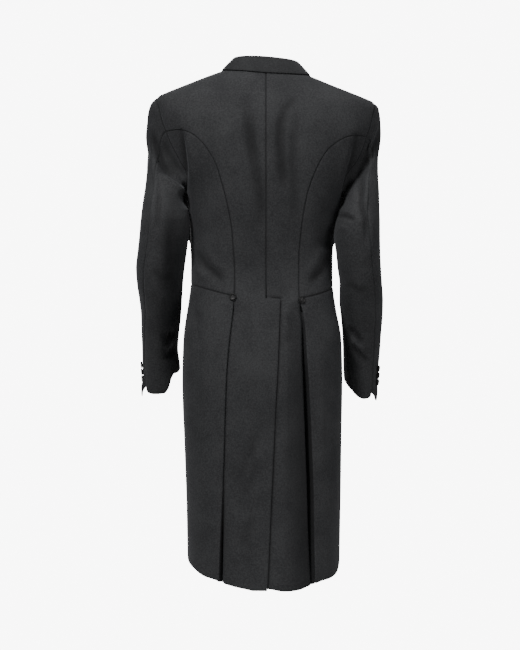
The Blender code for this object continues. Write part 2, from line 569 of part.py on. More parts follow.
def make_back(surface, seams, material):
    """One back in one length, with the lap at the vent and the cloth that goes under the side pleat."""
    side = seams.side
    upper_downs = smooth(*np.array(CENTRE_ROWS).T, np.arange(PRINCESS_ROWS + CAP_ROWS + SHOULDER_ROWS + 1))
    centre_up = surface.drawn(np.column_stack([np.full(len(upper_downs), CENTRE_SEAM[0][0]), upper_downs]))
    outer_up = np.concatenate([seams.princess, seams.cap[1:], seams.shoulder[1:]])
    top_turns = np.linspace(centre_up[-1, 0], outer_up[-1, 0], BACK_COLUMNS + 1)
    top = np.column_stack([top_turns, np.linspace(centre_up[-1, 1], outer_up[-1, 1], BACK_COLUMNS + 1)])
    middle = np.linspace(centre_up[0], outer_up[0], BACK_COLUMNS + 1)
    above = patch(middle, top, centre_up, outer_up)
    hem = surface.trace(surface.drawn(TAIL_HEM[side]), BACK_COLUMNS)
    edge_across, edge_down = np.array(VENT_EDGE).T
    downs = np.array((*TAIL_DOWNS, TAIL_HEM[side][0][1]))
    if side < 0:
        inner_across = np.interp(downs, edge_down, edge_across) - VENT_LAP_UNITS
    else:
        centre, waist_down = CENTRE_SEAM[0]
        inner_across = np.interp(downs, (waist_down, downs[-1]), (centre, TAIL_HEM[side][0][0]))
    centre_down = surface.drawn(np.column_stack([inner_across, downs]))
    centre_down[0] = centre_up[0]
    below = patch(middle, hem, centre_down, np.concatenate([seams.pleat[:-1], hem[-1:]]))
    grid = np.concatenate([below[::-1], above[1:]])
    waist = TAIL_ROWS

    lap = (VENT_LAP_UNITS if side < 0 else UNDERLAP_UNITS) * UNIT * -side
    (inner_turn, inner_height), (outer_turn, outer_height) = grid[:, 0].T, grid[:, -1].T
    laps = [surface.step(inner_turn, inner_height, lap * part) for part in (1.0, 0.5)]
    laps = [np.stack([turn, inner_height], -1) for turn in laps]
    unders = []
    for reach in PLEAT_REACHES:
        turn = side * surface.step(np.abs(outer_turn), outer_height, reach)
        rise = seams.under_rise(turn, np.arange(len(grid)), UNDER_CLEAR)
        unders.append(np.stack([turn, outer_height + rise], -1))
    grid = np.concatenate([np.stack(laps, 1), grid, np.stack(unders, 1)], axis=1)
    rows, columns = grid.shape[:2]
    cells = np.ones((rows - 1, columns - 1), bool)
    cells[waist:, :2] = False
    cells[waist - 2 :, -2:] = False

    pleat_turn = np.interp(-grid[..., 1], -seams.pleat[:, 1], np.abs(seams.pleat[:, 0]))
    back_length = np.interp(grid[..., 1], surface.heights, surface.lengths[:, 0])
    to_pleat = (pleat_turn - grid[..., 0] * side) * 2 * back_length
    below_waist = ramp(np.arange(rows), waist, waist - 2)[:, None]
    lift = -PLEAT_RECESS * ramp(to_pleat, *PLEAT_FADE) * below_waist
    extra = ()
    if side > 0:
        edge = surface.drawn(VENT_EDGE)
        edge_turn = np.interp(-grid[..., 1], -edge[:, 1], edge[:, 0])
        past_edge = (grid[..., 0] - edge_turn) * 2 * back_length
        below_hook = ramp(np.arange(rows), waist + 2, waist)[:, None]
        recess = -VENT_RECESS * ramp(past_edge, *VENT_FADE) * below_hook
        lift = np.minimum(lift, recess)
    outer, inner, normals = sheet(surface, grid, lift)
    if side > 0:
        wedge = creases(outer, (RIGHT_WEDGE,)) * below_waist * ramp(to_pleat, -0.004, 0.004)
        outer, inner = outer + normals * wedge[..., None], inner + normals * wedge[..., None]
    main = slice(2, columns - 2)
    up = slice(waist, None)
    seam_gap(outer[up, main], inner[up, main], normals[up, main], ("first", "last"))
    edge = unit(outer[:waist, -4] - outer[:waist, -3]) * PLEAT_PULL_IN
    outer[waist - 2 : waist, -3] += edge[waist - 2 :]
    inner[waist - 2 : waist, -3] += edge[waist - 2 :]
    return panel_object(f"back_{SIDES[side]}", outer, inner, material, cells)


SIDES = {-1: "left", 1: "right"}


def make_sidebody(surface, seams, material):
    grid = patch(seams.waist_side, seams.armhole_back, seams.princess, seams.underarm)
    outer, inner, normals = sheet(surface, grid, 0.0)
    seam_gap(outer, inner, normals, ("bottom", "first", "last"))
    return panel_object(f"sidebody_{SIDES[seams.side]}", outer, inner, material)


def fore_lift(surface, side, turn):
    """The right front goes under the left one where they button."""
    return -VENT_RECESS * ramp(np.abs(turn), 0.86, 0.95) if side > 0 else np.zeros_like(turn)


def make_forepart(surface, seams, material):
    outer_line = np.concatenate([seams.underarm, seams.armhole_front[1:], seams.shoulder[1:]])
    grid = patch(seams.waist_fore, seams.neckline, outer_line, seams.front_edge)
    lift = fore_lift(surface, seams.side, grid[..., 0])
    outer, inner, normals = sheet(surface, grid, lift)
    under, arm = slice(0, PRINCESS_ROWS + 1), slice(PRINCESS_ROWS + FRONT_ARM_ROWS, None)
    seam_gap(outer[under], inner[under], normals[under], ("first",))
    seam_gap(outer[arm], inner[arm], normals[arm], ("first",))
    seam_gap(outer, inner, normals, ("bottom",))
    panel_object(f"forepart_{SIDES[seams.side]}", outer, inner, material)
    return Facets(grid, outer)


class Facets:
    """The flat faces of a panel, so that what lies on it is made from its own points, moved out."""

    def __init__(self, grid, outer):
        numbers = np.arange(grid.shape[0] * grid.shape[1]).reshape(grid.shape[:2])
        a, b, c, d = numbers[:-1, :-1], numbers[:-1, 1:], numbers[1:, 1:], numbers[1:, :-1]
        faces = np.concatenate([np.stack(corners, -1).reshape(-1, 3) for corners in ((a, b, c), (a, c, d))])
        self.flat, self.points = grid.reshape(-1, 2)[faces], outer.reshape(-1, 3)[faces]

    def place(self, turn, height):
        """Points of the panel's outer face at these surface coordinates."""
        first, second, third = np.moveaxis(self.flat, 1, 0)
        area = np.cross(second - first, third - first)
        wanted = np.stack([turn, height], -1).reshape(-1, 1, 2)
        share_second = np.cross(wanted - first, third - first) / area
        share_third = np.cross(second - first, wanted - first) / area
        shares = np.stack([1 - share_second - share_third, share_second, share_third], -1)
        best = shares.min(-1).argmax(1)
        rows = np.arange(len(best))
        found = (shares[rows, best][..., None] * self.points[best]).sum(1)
        return found.reshape(*np.shape(turn), 3)


def fold_profile(wall, reach):
    """A turned edge seen end on: distance into the piece and lift, for outer and inner points."""
    inner_radius = FOLD_GAP / 2
    outer_radius = wall + inner_radius
    outer, inner = [], []
    for angle in np.radians((90, 135, 180, 225, 270)):
        outer.append(
            (outer_radius + outer_radius * math.cos(angle), outer_radius * math.sin(angle) - outer_radius),
        )
        inner.append(
            (outer_radius + inner_radius * math.cos(angle), inner_radius * math.sin(angle) - outer_radius),
        )
    for extra in reach:
        outer.append((extra, -2 * outer_radius))
        inner.append((extra, -outer_radius - inner_radius))
    return np.array(outer[::-1]), np.array(inner[::-1])


def make_skirt(surface, seams, material):
    """One skirt from its turned pleat edge to the cutaway front edge."""
    side = seams.side
    top = np.concatenate([seams.waist_side, seams.waist_fore[1:]])
    columns = len(top) - 1
    cutaway = surface.trace([(turn * side, height) for turn, height in CUTAWAY[side][::-1]], TAIL_ROWS)
    hem_path = [*surface.drawn(SKIRT_HEM[side]), tuple(cutaway[-1])]
    hem = surface.trace(hem_path, columns)
    first = np.concatenate([seams.pleat[:-1], hem[:1]])
    grid = patch(top, hem, first, cutaway)
    faces = []
    for fold, depth in zip(fold_profile(WALL, TURNED_REACHES), (0.0, -WALL)):
        folded = []
        for distance, lift in fold:
            turn, height = side * surface.step(np.abs(grid[:, 0, 0]), grid[:, 0, 1], distance), grid[:, 0, 1]
            if distance > WALL + FOLD_GAP:
                height = height + seams.under_rise(turn[-1], np.arange(len(turn))[::-1], TURNED_CLEAR)
            folded.append(surface.point(turn, height, np.full(len(turn), lift)))
        flat = surface.point(grid[:, 1:, 0], grid[:, 1:, 1], np.full(grid[:, 1:, 0].shape, depth))
        faces.append(np.concatenate([np.stack(folded, 1), flat], 1))
    outer, inner = faces
    down = unit(outer[1] - outer[0]) * HALF_SEAM
    outer[0] += down
    inner[0] += down
    return panel_object(f"skirt_{SIDES[side]}", outer, inner, material)


# Sleeve tubes in the back view: down, lateral edge, medial edge, then depth of the centre line and half depth
SLEEVE_TABLE = {
    -1: (
        (205.0, 142.2, 188.4, -0.026, 0.064),
        (220.0, 140.6, 189.8, -0.036, 0.062),
        (236.0, 139.2, 188.9, -0.038, 0.060),
        (252.0, 137.5, 187.0, -0.034, 0.059),
        (268.0, 135.9, 184.8, -0.027, 0.058),
        (284.0, 137.0, 183.2, -0.015, 0.056),
        (300.0, 139.4, 182.3, 0.004, 0.054),
        (316.0, 141.1, 181.2, 0.022, 0.052),
        (332.0, 141.5, 179.4, 0.042, 0.050),
        (348.0, 142.1, 178.2, 0.062, 0.049),
        (364.0, 142.5, 180.0, 0.080, 0.048),
        (380.0, 143.4, 181.0, 0.094, 0.047),
        (400.0, 144.2, 180.6, 0.106, 0.046),
    ),
    1: (
        (205.0, 379.2, 341.0, -0.026, 0.064),
        (220.0, 380.0, 336.0, -0.036, 0.062),
        (236.0, 380.1, 333.8, -0.038, 0.060),
        (252.0, 380.4, 335.9, -0.036, 0.059),
        (268.0, 381.1, 337.5, -0.027, 0.058),
        (284.0, 382.1, 339.5, -0.015, 0.056),
        (300.0, 383.1, 339.3, 0.004, 0.054),
        (316.0, 382.7, 340.8, 0.022, 0.052),
        (332.0, 381.3, 342.2, 0.040, 0.050),
        (348.0, 380.2, 342.9, 0.056, 0.049),
        (364.0, 378.8, 343.2, 0.070, 0.048),
        (380.0, 377.8, 344.0, 0.082, 0.047),
        (400.0, 375.8, 347.0, 0.094, 0.046),
    ),
}
# Degrees round the sleeve from the back, medial way minus: down, hind seam, fore seam
SLEEVE_SEAMS = {
    -1: (
        (205.0, 34.0, -140.0), (250.0, 37.0, -122.0), (300.0, 45.0, -98.0), (350.0, 56.0, -66.0),
        (400.0, 58.0, -62.0),
    ),
    1: (
        (205.0, 20.0, -140.0), (250.0, 32.0, -122.0), (300.0, 36.0, -90.0), (350.0, 38.0, -54.0),
        (400.0, 40.0, -38.0),
    ),
}
# Hem of the cuff: degrees round the sleeve, down
CUFF_HEM = {
    -1: (
        (-120.0, 372.0), (-100.0, 369.0), (-72.0, 368.6), (-48.0, 372.4), (-34.0, 378.0), (-22.0, 389.0),
        (-8.0, 393.6), (20.0, 394.4), (45.0, 392.6), (58.0, 388.0), (75.0, 393.5), (100.0, 389.0),
        (140.0, 382.0), (180.0, 377.0), (220.0, 373.5), (240.0, 372.0),
    ),
    1: (
        (-120.0, 380.0), (-100.0, 379.6), (-80.0, 380.8), (-52.0, 387.6), (-32.0, 393.0), (-14.0, 397.4),
        (6.0, 399.2), (24.0, 398.4), (40.0, 394.6), (60.0, 398.0), (100.0, 393.0), (140.0, 388.0),
        (180.0, 384.0), (220.0, 381.0), (240.0, 380.0),
    ),
}
CAP_STEPS, TUBE_STEPS, HIND_VERTEX, FORE_VERTEX = 6, 14, 5, 15
UNDERARM_VERTICES = (8, 17)
# Outline of the sleeve heads moved out (minus: in), in units: down, move
HEAD_MOVES = {
    -1: (
        (88.0, 0.0), (95.0, 4.6), (101.0, 4.2), (112.0, 3.2), (124.0, 1.2), (136.0, 0.6), (146.0, -1.4),
        (154.0, -3.2), (164.0, -2.4), (184.0, -1.8), (200.0, -0.6), (212.0, 0.0),
    ),
    1: (
        (90.0, 0.0), (96.0, -1.2), (104.0, 3.4), (112.0, 0.4), (124.0, -2.0), (136.0, -3.0), (148.0, -4.6),
        (156.0, -5.6), (166.0, -4.8), (178.0, -2.8), (190.0, -1.0), (204.0, 0.0),
    ),
}
UNDERARM_BULGE = 0.006
UNDERARM_CLEAR = 0.0040
TOP_PULL, BACK_PULL, LOW_PULL = 0.070, 0.046, 0.014
# Downs at which the tube starts and ends, and at which the degrees of the hem are read
TUBE_FIRST, TUBE_LAST, HEM_KEY = 212.0, 388.0, 392.0
END_PULL, END_STEP = (0.03, 0.17), 8.0
CAP_EASE = 1.35
SLEEVE_FOLDS = {
    -1: (
        (((150, 124), (152.5, 134), (158, 150), (161, 161), (168, 171), (174, 180), (185, 186)), -0.006, 4.2),
        (((157, 170), (166, 177), (176, 185), (186, 194)), 0.0034, 3.4),
        (((160, 138), (168, 156), (176, 170)), 0.0022, 4.0),
        (((157, 183), (155, 205), (153, 232)), -0.0022, 2.8),
        (((150, 270), (168, 285), (178, 276)), -0.0016, 5.0),
        (((180, 330), (166, 344), (160, 326)), -0.0026, 4.2),
        (((176, 345), (164, 362)), -0.0018, 4.2),
    ),
    1: (
        (((378.5, 120), (378, 136), (373, 152), (362, 167), (347, 185)), -0.0058, 3.8),
        (((377, 108), (374, 128), (368, 146)), 0.0020, 3.2),
        (((362, 176), (361.5, 205), (367, 222), (366, 246)), -0.0030, 3.2),
        (((367, 176), (368, 205), (372, 222)), 0.0024, 3.6),
        (((338, 216), (347, 217), (358, 220)), -0.0026, 3.6),
        (((347, 326), (356, 336), (366, 345)), -0.0030, 3.6),
        (((350, 344), (360, 358), (370, 363)), -0.0026, 3.4),
        (((348, 338), (358, 348)), 0.0016, 3.4),
    ),
}


def sleeve_tube(side, degrees, down):
    """Points of the sleeve below the armhole, by degrees round it and its height as drawn (down)."""
    rows = np.array(SLEEVE_TABLE[side]).T
    lateral, medial, depth, half_depth = (smooth(rows[0], row, down) for row in rows[1:])
    angle = np.radians(degrees)
    scale = (EYE_DISTANCE + depth) / EYE_DISTANCE * UNIT
    centre = EYE_X + ((lateral + medial) / 2 - EYE_ACROSS) * scale
    half = np.abs(lateral - medial) / 2 * scale
    near = depth - half_depth * np.cos(angle)
    height = EYE_Z - (down - EYE_DOWN) * (EYE_DISTANCE + near) / EYE_DISTANCE * UNIT
    return np.stack([centre + side * half * np.sin(angle), near, height], -1)


def make_sleeves(surface, seams, material):
    """Top and under sleeve: a cap that leaves the armhole along the body, then a bent tube to the cuff."""
    side = seams.side
    loop = np.concatenate([seams.cap[::-1], seams.armhole_back[1:], seams.armhole_front[1:-1]])
    count = len(loop)
    base = surface.point(loop[:, 0], loop[:, 1], np.zeros(count))
    normal = surface.look(loop[:, 0], loop[:, 1])[1]
    tangent = unit(np.roll(base, -1, 0) - np.roll(base, 1, 0))
    into = unit(np.cross(normal, tangent))
    centre = base.mean(0)
    into *= np.where(((centre - base) * into).sum(-1, keepdims=True) < 0, -1.0, 1.0)
    start = base + into * 2 * HALF_SEAM
    order = np.arange(count)
    hind, fore = HIND_VERTEX, FORE_VERTEX
    seam_rows = np.array(SLEEVE_SEAMS[side]).T

    def degrees_at(down):
        """Degrees of every column at this height of the sleeve."""
        hind_turn, fore_turn = (float(smooth(seam_rows[0], row, down)) for row in seam_rows[1:])
        return np.where(
            order <= hind,
            hind_turn + (360 + fore_turn - hind_turn) * (hind - order) / (hind + count - fore),
            np.where(
                order <= fore,
                hind_turn + (fore_turn - hind_turn) * (order - hind) / (fore - hind),
                hind_turn + (360 + fore_turn - hind_turn) * (hind + count - order) / (hind + count - fore),
            ),
        )

    hem_rows = np.array(CUFF_HEM[side]).T
    joined = sleeve_tube(side, degrees_at(TUBE_FIRST), np.full(count, TUBE_FIRST))
    lateral = np.sin(np.radians(degrees_at(TUBE_FIRST)))
    pull = BACK_PULL + (np.where(lateral > 0, TOP_PULL, LOW_PULL) - BACK_PULL) * np.abs(lateral)
    drop = joined[:, 2] - start[:, 2]
    end_pull = np.clip(np.abs(drop) * 1.1, *END_PULL)
    beyond = TUBE_FIRST + END_STEP
    end_way = unit(sleeve_tube(side, degrees_at(beyond), np.full(count, beyond)) - joined)
    grid = []
    for s in (np.arange(CAP_STEPS + 1) / CAP_STEPS) ** CAP_EASE:
        puff = UNDERARM_BULGE * np.clip(-lateral, 0, 1) * math.sin(math.pi * min(1.0, s * 1.15))
        grid.append(
            start * (1 + 2 * s) * (1 - s) ** 2
            + into * pull[:, None] * s * (1 - s) ** 2 * 3.0
            + joined * s * s * (3 - 2 * s)
            + end_way * end_pull[:, None] * s * s * (s - 1)
            + normal * puff[:, None]
        )
    hem = smooth(hem_rows[0], hem_rows[1], (degrees_at(HEM_KEY) + 120.0) % 360.0 - 120.0)
    for k in range(1, TUBE_STEPS + 1):
        part = k / TUBE_STEPS
        down = TUBE_FIRST + (TUBE_LAST - TUBE_FIRST) * part
        fade = ramp(part, 0.55, 1.0)
        level = down + (hem - TUBE_LAST) * fade
        grid.append(sleeve_tube(side, degrees_at(down), level))
    grid = np.array(grid)
    downs, moves = np.array(HEAD_MOVES[side]).T
    outward = np.clip(lateral, 0, 1) ** 1.5 * UNIT * side
    grid[1:, :, 0] += smooth(downs, moves, seen(grid[1:])[1]) * outward
    low = slice(UNDERARM_VERTICES[0], UNDERARM_VERTICES[1] + 1)
    clear = UNDERARM_CLEAR * ramp(np.arange(len(grid)), 0, 2)[:, None]
    grid[1:CAP_STEPS + 3, low] = surface.pushed(grid[1:CAP_STEPS + 3, low], side, clear[1:CAP_STEPS + 3])
    around = np.roll(grid, -1, 1) - np.roll(grid, 1, 1)
    along = np.gradient(grid, axis=0)
    normals = unit(np.cross(around, along))
    axis = grid.mean(1, keepdims=True)
    if ((grid[4:] - axis[4:]) * normals[4:]).sum() < 0:
        normals = -normals
    normals[0] = normal
    normals[1] = unit(normals[1] + 0.5 * normal)
    facing = ramp(-normals[..., 1], -0.15, 0.35)
    away = ramp(np.arange(len(grid)), 0, 2)[:, None]
    grid = grid + normals * (creases(grid, SLEEVE_FOLDS[side]) * facing * away)[..., None]
    outer, inner = grid, grid - normals * WALL
    top_order = np.concatenate([np.arange(hind, -1, -1), np.arange(count - 1, fore - 1, -1)])
    for name, columns in (("top_sleeve", top_order), ("under_sleeve", np.arange(hind, fore + 1))):
        face, back, out = outer[:, columns].copy(), inner[:, columns].copy(), normals[:, columns]
        seam_gap(face, back, out, ("first", "last"))
        bent = slice(1, CAP_STEPS + 3)
        seam_gap(face[bent], back[bent], out[bent], ("first", "last"))
        panel_object(f"{name}_{SIDES[side]}", face, back, material)


# Collar by part of its half length: stand height, fall bulge
COLLAR_TABLE = (
    (0.0, 0.0196, 0.0008), (0.35, 0.0196, 0.0004), (0.55, 0.0186, 0.0002), (0.65, 0.0168, 0.0012),
    (0.80, 0.0125, 0.0036), (0.92, 0.0080, 0.0046), (1.0, 0.0045, 0.0054),
)
# Neck edge under the collar by part: turn, height; and the edge of the fall: turn, height
COLLAR_NECK = (
    (0.0, 0.0, 0.0100), (0.35, 0.28, 0.0095), (0.62, 0.5, 0.0085), (0.80, 0.60, 0.0078),
    (0.92, 0.665, 0.0045), (1.0, 0.70, 0.0010),
)
COLLAR_FALL = (
    (0.0, 0.0, -0.0060), (0.35, 0.26, -0.0035), (0.62, 0.5, 0.0000), (0.80, 0.643, -0.0100),
    (0.92, 0.751, -0.0340), (1.0, 0.824, -0.0575),
)
COLLAR_SECTIONS, COLLAR_LEAN = 28, 0.45
# Half width and height of the bend at the collar's top, and how far its ends stand off the coat
CROWN_RADIUS, CROWN_HEIGHT, CROWN_DROP = 0.0024, 0.0026, 0.0030
COLLAR_FOOT, COLLAR_FOOT_RISE, COLLAR_OFF = -0.0004, 0.0012, 0.0024


def make_collar(surface, material):
    """Stand and fall as one folded strip round the neck."""
    outer, inner = [], []
    table, neck, fall = (np.array(rows).T for rows in (COLLAR_TABLE, COLLAR_NECK, COLLAR_FALL))
    for part in np.linspace(-1, 1, COLLAR_SECTIONS + 1):
        side, reach = (-1.0 if part < 0 else 1.0), abs(part)
        stand, bulge = (float(smooth(table[0], row, reach)) for row in table[1:])
        foot_place = [float(smooth(neck[0], row, reach)) for row in neck[1:]]
        edge_place = [float(smooth(fall[0], row, reach)) for row in fall[1:]]
        foot = surface.point(np.array(foot_place[0] * side), np.array(foot_place[1]), COLLAR_FOOT)
        edge = surface.point(np.array(edge_place[0] * side), np.array(edge_place[1]), COLLAR_OFF)
        out = edge - foot
        out[2] = 0.0
        out = unit(out)
        up = np.array([0.0, 0.0, 1.0])
        foot = foot + up * COLLAR_FOOT_RISE
        lean = -COLLAR_LEAN * stand
        crown = foot + up * (stand - CROWN_DROP) + out * (lean + CROWN_RADIUS)
        path = [foot]
        path.append(foot + (crown - out * CROWN_RADIUS - foot) * 0.5)
        for angle in np.radians((180, 135, 90, 45)):
            path.append(crown + out * CROWN_RADIUS * math.cos(angle) + up * CROWN_HEIGHT * math.sin(angle))
        first = path[-1]
        control = (first + edge) / 2 + unit(out + up) * bulge * 1.6
        for s in (0.33, 0.66, 1.0):
            path.append(first * (1 - s) ** 2 + control * 2 * s * (1 - s) + edge * s * s)
        path = np.array(path)
        way = np.gradient(path, axis=0)
        flat = np.stack([(way * out).sum(-1), way[:, 2]], -1)
        flat = unit(flat)
        square = out[None] * -flat[:, 1:2] + up[None] * flat[:, :1]
        outer.append(path + square * COLLAR_WALL / 2)
        inner.append(path - square * COLLAR_WALL / 2)
    outer, inner = np.array(outer), np.array(inner)
    return panel_object("collar", outer, inner, material)


LAPEL_ROWS, LAPEL_COLUMNS = 16, 6


def make_lapel(surface, seams, forepart, material):
    """The turned front: it leaves the front edge of its forepart, rolls over and lies on it."""
    side = seams.side
    start = LAPEL_START[side]
    roll = [tuple(row) for row in surface.on_front(ROLL_LINE, side) if row[1] > start + 0.01]
    fine = surface.trace(surface.on_front(ROLL_LINE, side), 200)
    foot = fine[np.argmin(np.abs(fine[:, 1] - start))]
    head = fine[np.argmin(np.abs(fine[:, 1] - LAPEL_TOP[0][1]))]
    first = surface.trace([tuple(foot), *roll[:-1], tuple(head)], LAPEL_ROWS)
    begin = surface.on_front([LAPEL_FOOT[side]], side)[0]
    edge_rows = surface.on_front(LAPEL_EDGE, side)
    edge_path = [begin, *edge_rows[edge_rows[:, 1] > begin[1] + LAPEL_CLEAR]]
    last = surface.trace(edge_path, LAPEL_ROWS)
    top = surface.trace([first[-1], *surface.on_front(LAPEL_TOP, side)[1:]], LAPEL_COLUMNS)
    across = np.linspace(0, 1, LAPEL_COLUMNS + 1)[:, None]
    dip = top - top[0] * (1 - across) - top[-1] * across
    near_top = ramp(np.linspace(0, 1, LAPEL_ROWS + 1), 0.55, 1.0)[:, None, None]
    grid = first[:, None] * (1 - across) + last[:, None] * across + dip * near_top
    share = np.linspace(0, 1, LAPEL_COLUMNS + 1)[None]
    puff = LAPEL_LIFT + LAPEL_PUFF * (1 - share) ** 2 + LAPEL_RISE * ramp(grid[..., 1], *LAPEL_RISE_SPAN)
    puff = puff[..., None]
    under, normals = forepart.place(grid[..., 0], grid[..., 1]), surface.look(grid[..., 0], grid[..., 1])[1]
    outer, inner = under + normals * (puff + WALL), under + normals * puff
    edge_point, edge_normal = under[:, 0], normals[:, 0]
    away = unit(np.cross(np.gradient(edge_point, axis=0), edge_normal))
    away *= np.where((away[:-2] * (outer[:-2, 0] - outer[:-2, 1])).sum() < 0, -1.0, 1.0)
    turned_outer, turned_inner = [], []
    inner_radius = puff[:, 0] / 2
    outer_radius = inner_radius + WALL
    lift_mid = puff[:, 0] - inner_radius
    for angle in np.radians((270, 225, 180, 135)):
        for turned, radius in ((turned_outer, outer_radius), (turned_inner, inner_radius)):
            off, rise = LAPEL_STUB - radius * math.cos(angle), lift_mid + radius * math.sin(angle)
            turned.append(edge_point + away * off + edge_normal * rise)
    outer = np.concatenate([np.stack(turned_outer, 1), outer], 1)
    inner = np.concatenate([np.stack(turned_inner, 1), inner], 1)
    return panel_object(f"lapel_{SIDES[side]}", outer, inner, material)


def make_button(name, centre, normal, radius, thickness, material):
    """A low domed button standing just off the cloth."""
    normal = unit(np.asarray(normal, float))
    across = unit(np.cross(normal, (0.0, 0.0, 1.0) if abs(normal[2]) < 0.9 else (1.0, 0.0, 0.0)))
    upward = np.cross(normal, across)
    sides = 14
    rings = ((0.86, 0.0), (1.0, 0.28), (1.0, 0.62), (0.72, 1.0))
    points = [centre]
    for reach, rise in rings:
        for k in range(sides):
            angle = 2 * math.pi * k / sides
            way = across * math.cos(angle) + upward * math.sin(angle)
            points.append(centre + radius * reach * way + normal * thickness * rise)
    points.append(centre + normal * thickness)
    faces = []
    for k in range(sides):
        n = (k + 1) % sides
        faces.append((0, 1 + n, 1 + k))
        for ring in range(len(rings) - 1):
            a, b = 1 + ring * sides, 1 + (ring + 1) * sides
            faces += [(a + k, a + n, b + n), (a + k, b + n, b + k)]
        last = 1 + (len(rings) - 1) * sides
        faces.append((last + k, last + n, len(points) - 1))
    return solid_object(name, np.array(points), np.array(faces), material)


# Waist buttons of the back, drawn: across, down
BACK_BUTTONS = {-1: (233.0, 297.0), 1: (301.6, 300.0)}
BACK_BUTTON_SIZE = (0.0075, 0.0032)
CUFF_BUTTON_SIZE = (0.0072, 0.0032)
FRONT_BUTTON_SIZE = (0.0100, 0.0036)
FRONT_BUTTON = (-1.0, -0.412)
CUFF_BUTTON_DOWNS = {-1: (364.6, 371.6, 378.4), 1: (368.6, 375.4, 382.2)}
CUFF_BUTTON_DEGREES = {-1: 78.0, 1: 66.0}


def make_buttons(surface, material):
    for side in (-1, 1):
        turn, height = surface.drawn([BACK_BUTTONS[side]])[0]
        centre, normal = surface.point(turn, height, np.array(BUTTON_LIFT)), surface.look(turn, height)[1]
        make_button(f"back_button_{SIDES[side]}", centre, normal, *BACK_BUTTON_SIZE, material)
        for number, down in enumerate(CUFF_BUTTON_DOWNS[side], 1):
            degrees = CUFF_BUTTON_DEGREES[side]
            place = sleeve_tube(side, np.array(degrees), np.array(down))
            beside = sleeve_tube(side, np.array(degrees + 2.0), np.array(down)) - place
            below = sleeve_tube(side, np.array(degrees), np.array(down + 2.0)) - place
            normal = unit(np.cross(beside, below))
            if normal[0] * side < 0:
                normal = -normal
            centre = place + normal * CUFF_BUTTON_LIFT
            make_button(f"cuff_button_{SIDES[side]}_{number}", centre, normal, *CUFF_BUTTON_SIZE, material)
    centre = surface.point(*FRONT_BUTTON, np.array(BUTTON_LIFT))
    make_button("front_button", centre, surface.look(*FRONT_BUTTON)[1], *FRONT_BUTTON_SIZE, material)


def main():
    for existing in list(bpy.data.objects):
        bpy.data.objects.remove(existing)
    collection = bpy.data.collections.new(COLLECTION)
    bpy.context.scene.collection.children.link(collection)
    wool, horn = (make_material(*row) for row in MATERIALS)
    surface = CoatSurface()
    for side in (-1, 1):
        seams = Seams(surface, side)
        make_back(surface, seams, wool)
        make_sidebody(surface, seams, wool)
        forepart = make_forepart(surface, seams, wool)
        make_skirt(surface, seams, wool)
        make_lapel(surface, seams, forepart, wool)
        make_sleeves(surface, seams, wool)
    make_collar(surface, wool)
    make_buttons(surface, horn)


if __name__ == "__main__":
    main()
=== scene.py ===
"""Looks of a black wool morning coat in the form it takes when it is worn, seen from behind.

Every cloth piece is a thin shell on one chart of the worn coat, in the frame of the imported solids. Metres,
+Z up, the coat's back faces -Y. Seams and folds of the back are drawn in the view from behind, in units of
2.12 mm at the coat's middle.
"""

import logging
import math
from collections.abc import Callable
from dataclasses import dataclass
from enum import Enum

import bpy
import numpy as np
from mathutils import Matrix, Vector


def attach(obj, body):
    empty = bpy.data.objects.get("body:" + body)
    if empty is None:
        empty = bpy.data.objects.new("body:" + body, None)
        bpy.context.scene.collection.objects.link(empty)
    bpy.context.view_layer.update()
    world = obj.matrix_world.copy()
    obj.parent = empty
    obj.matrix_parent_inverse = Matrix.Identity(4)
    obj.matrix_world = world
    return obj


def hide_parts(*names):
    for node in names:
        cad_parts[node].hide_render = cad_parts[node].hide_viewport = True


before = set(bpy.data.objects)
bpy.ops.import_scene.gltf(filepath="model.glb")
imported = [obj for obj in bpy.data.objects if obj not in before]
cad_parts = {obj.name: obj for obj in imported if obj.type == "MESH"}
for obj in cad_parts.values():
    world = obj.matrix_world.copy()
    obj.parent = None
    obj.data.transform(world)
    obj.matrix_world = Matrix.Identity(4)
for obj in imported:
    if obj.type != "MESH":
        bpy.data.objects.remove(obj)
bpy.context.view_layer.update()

Array = np.ndarray
Pair = tuple[float, float]
Triple = tuple[float, float, float]
Path = tuple[Pair, ...]
Row = tuple[float, ...]
Rows = tuple[Row, ...]
Feed = float | tuple | bpy.types.NodeSocket
log = logging.getLogger("morning_coat")

# Cloth; half a seam's gap is minus, so that no light comes through where two pieces meet
WALL = 0.0018
HALF_SEAM = -0.00015
FOLD_GAP = 0.0004
# Painted shade of the deepest fold, the depth that counts as that, and the reach up to which a fold is crisp
FOLD_SHADE, FOLD_FULL, CRISP_REACH = 0.80, 0.0070, 4.0
# A fold's strength grows over this share of its ends; its ridge lies this many reaches off and is this wide
FOLD_ENDS, RIDGE_OFF, RIDGE_WIDTH = 0.3, 1.9, 1.15
# How deep the right tail lies under the left one, and both under the side pleats
VENT_RECESS, PLEAT_RECESS = 0.0032, 0.0050
VENT_LAP_UNITS, UNDERLAP_UNITS = 14.0, 7.0
# Turns between which the right front goes under the left one
BUTTONED = (0.86, 0.95)

# View from behind
UNIT = 0.00212
EYE_DISTANCE = 4.2
EYE_ACROSS, EYE_DOWN = 260.0, 325.0
EYE_X, EYE_Z = -0.00954, -0.53212

# First guess of the depth of a drawn place, and rounds that make a place exact
DEPTH_GUESS, DRAWN_ROUNDS, FIND_ROUNDS = -0.09, 6, 5

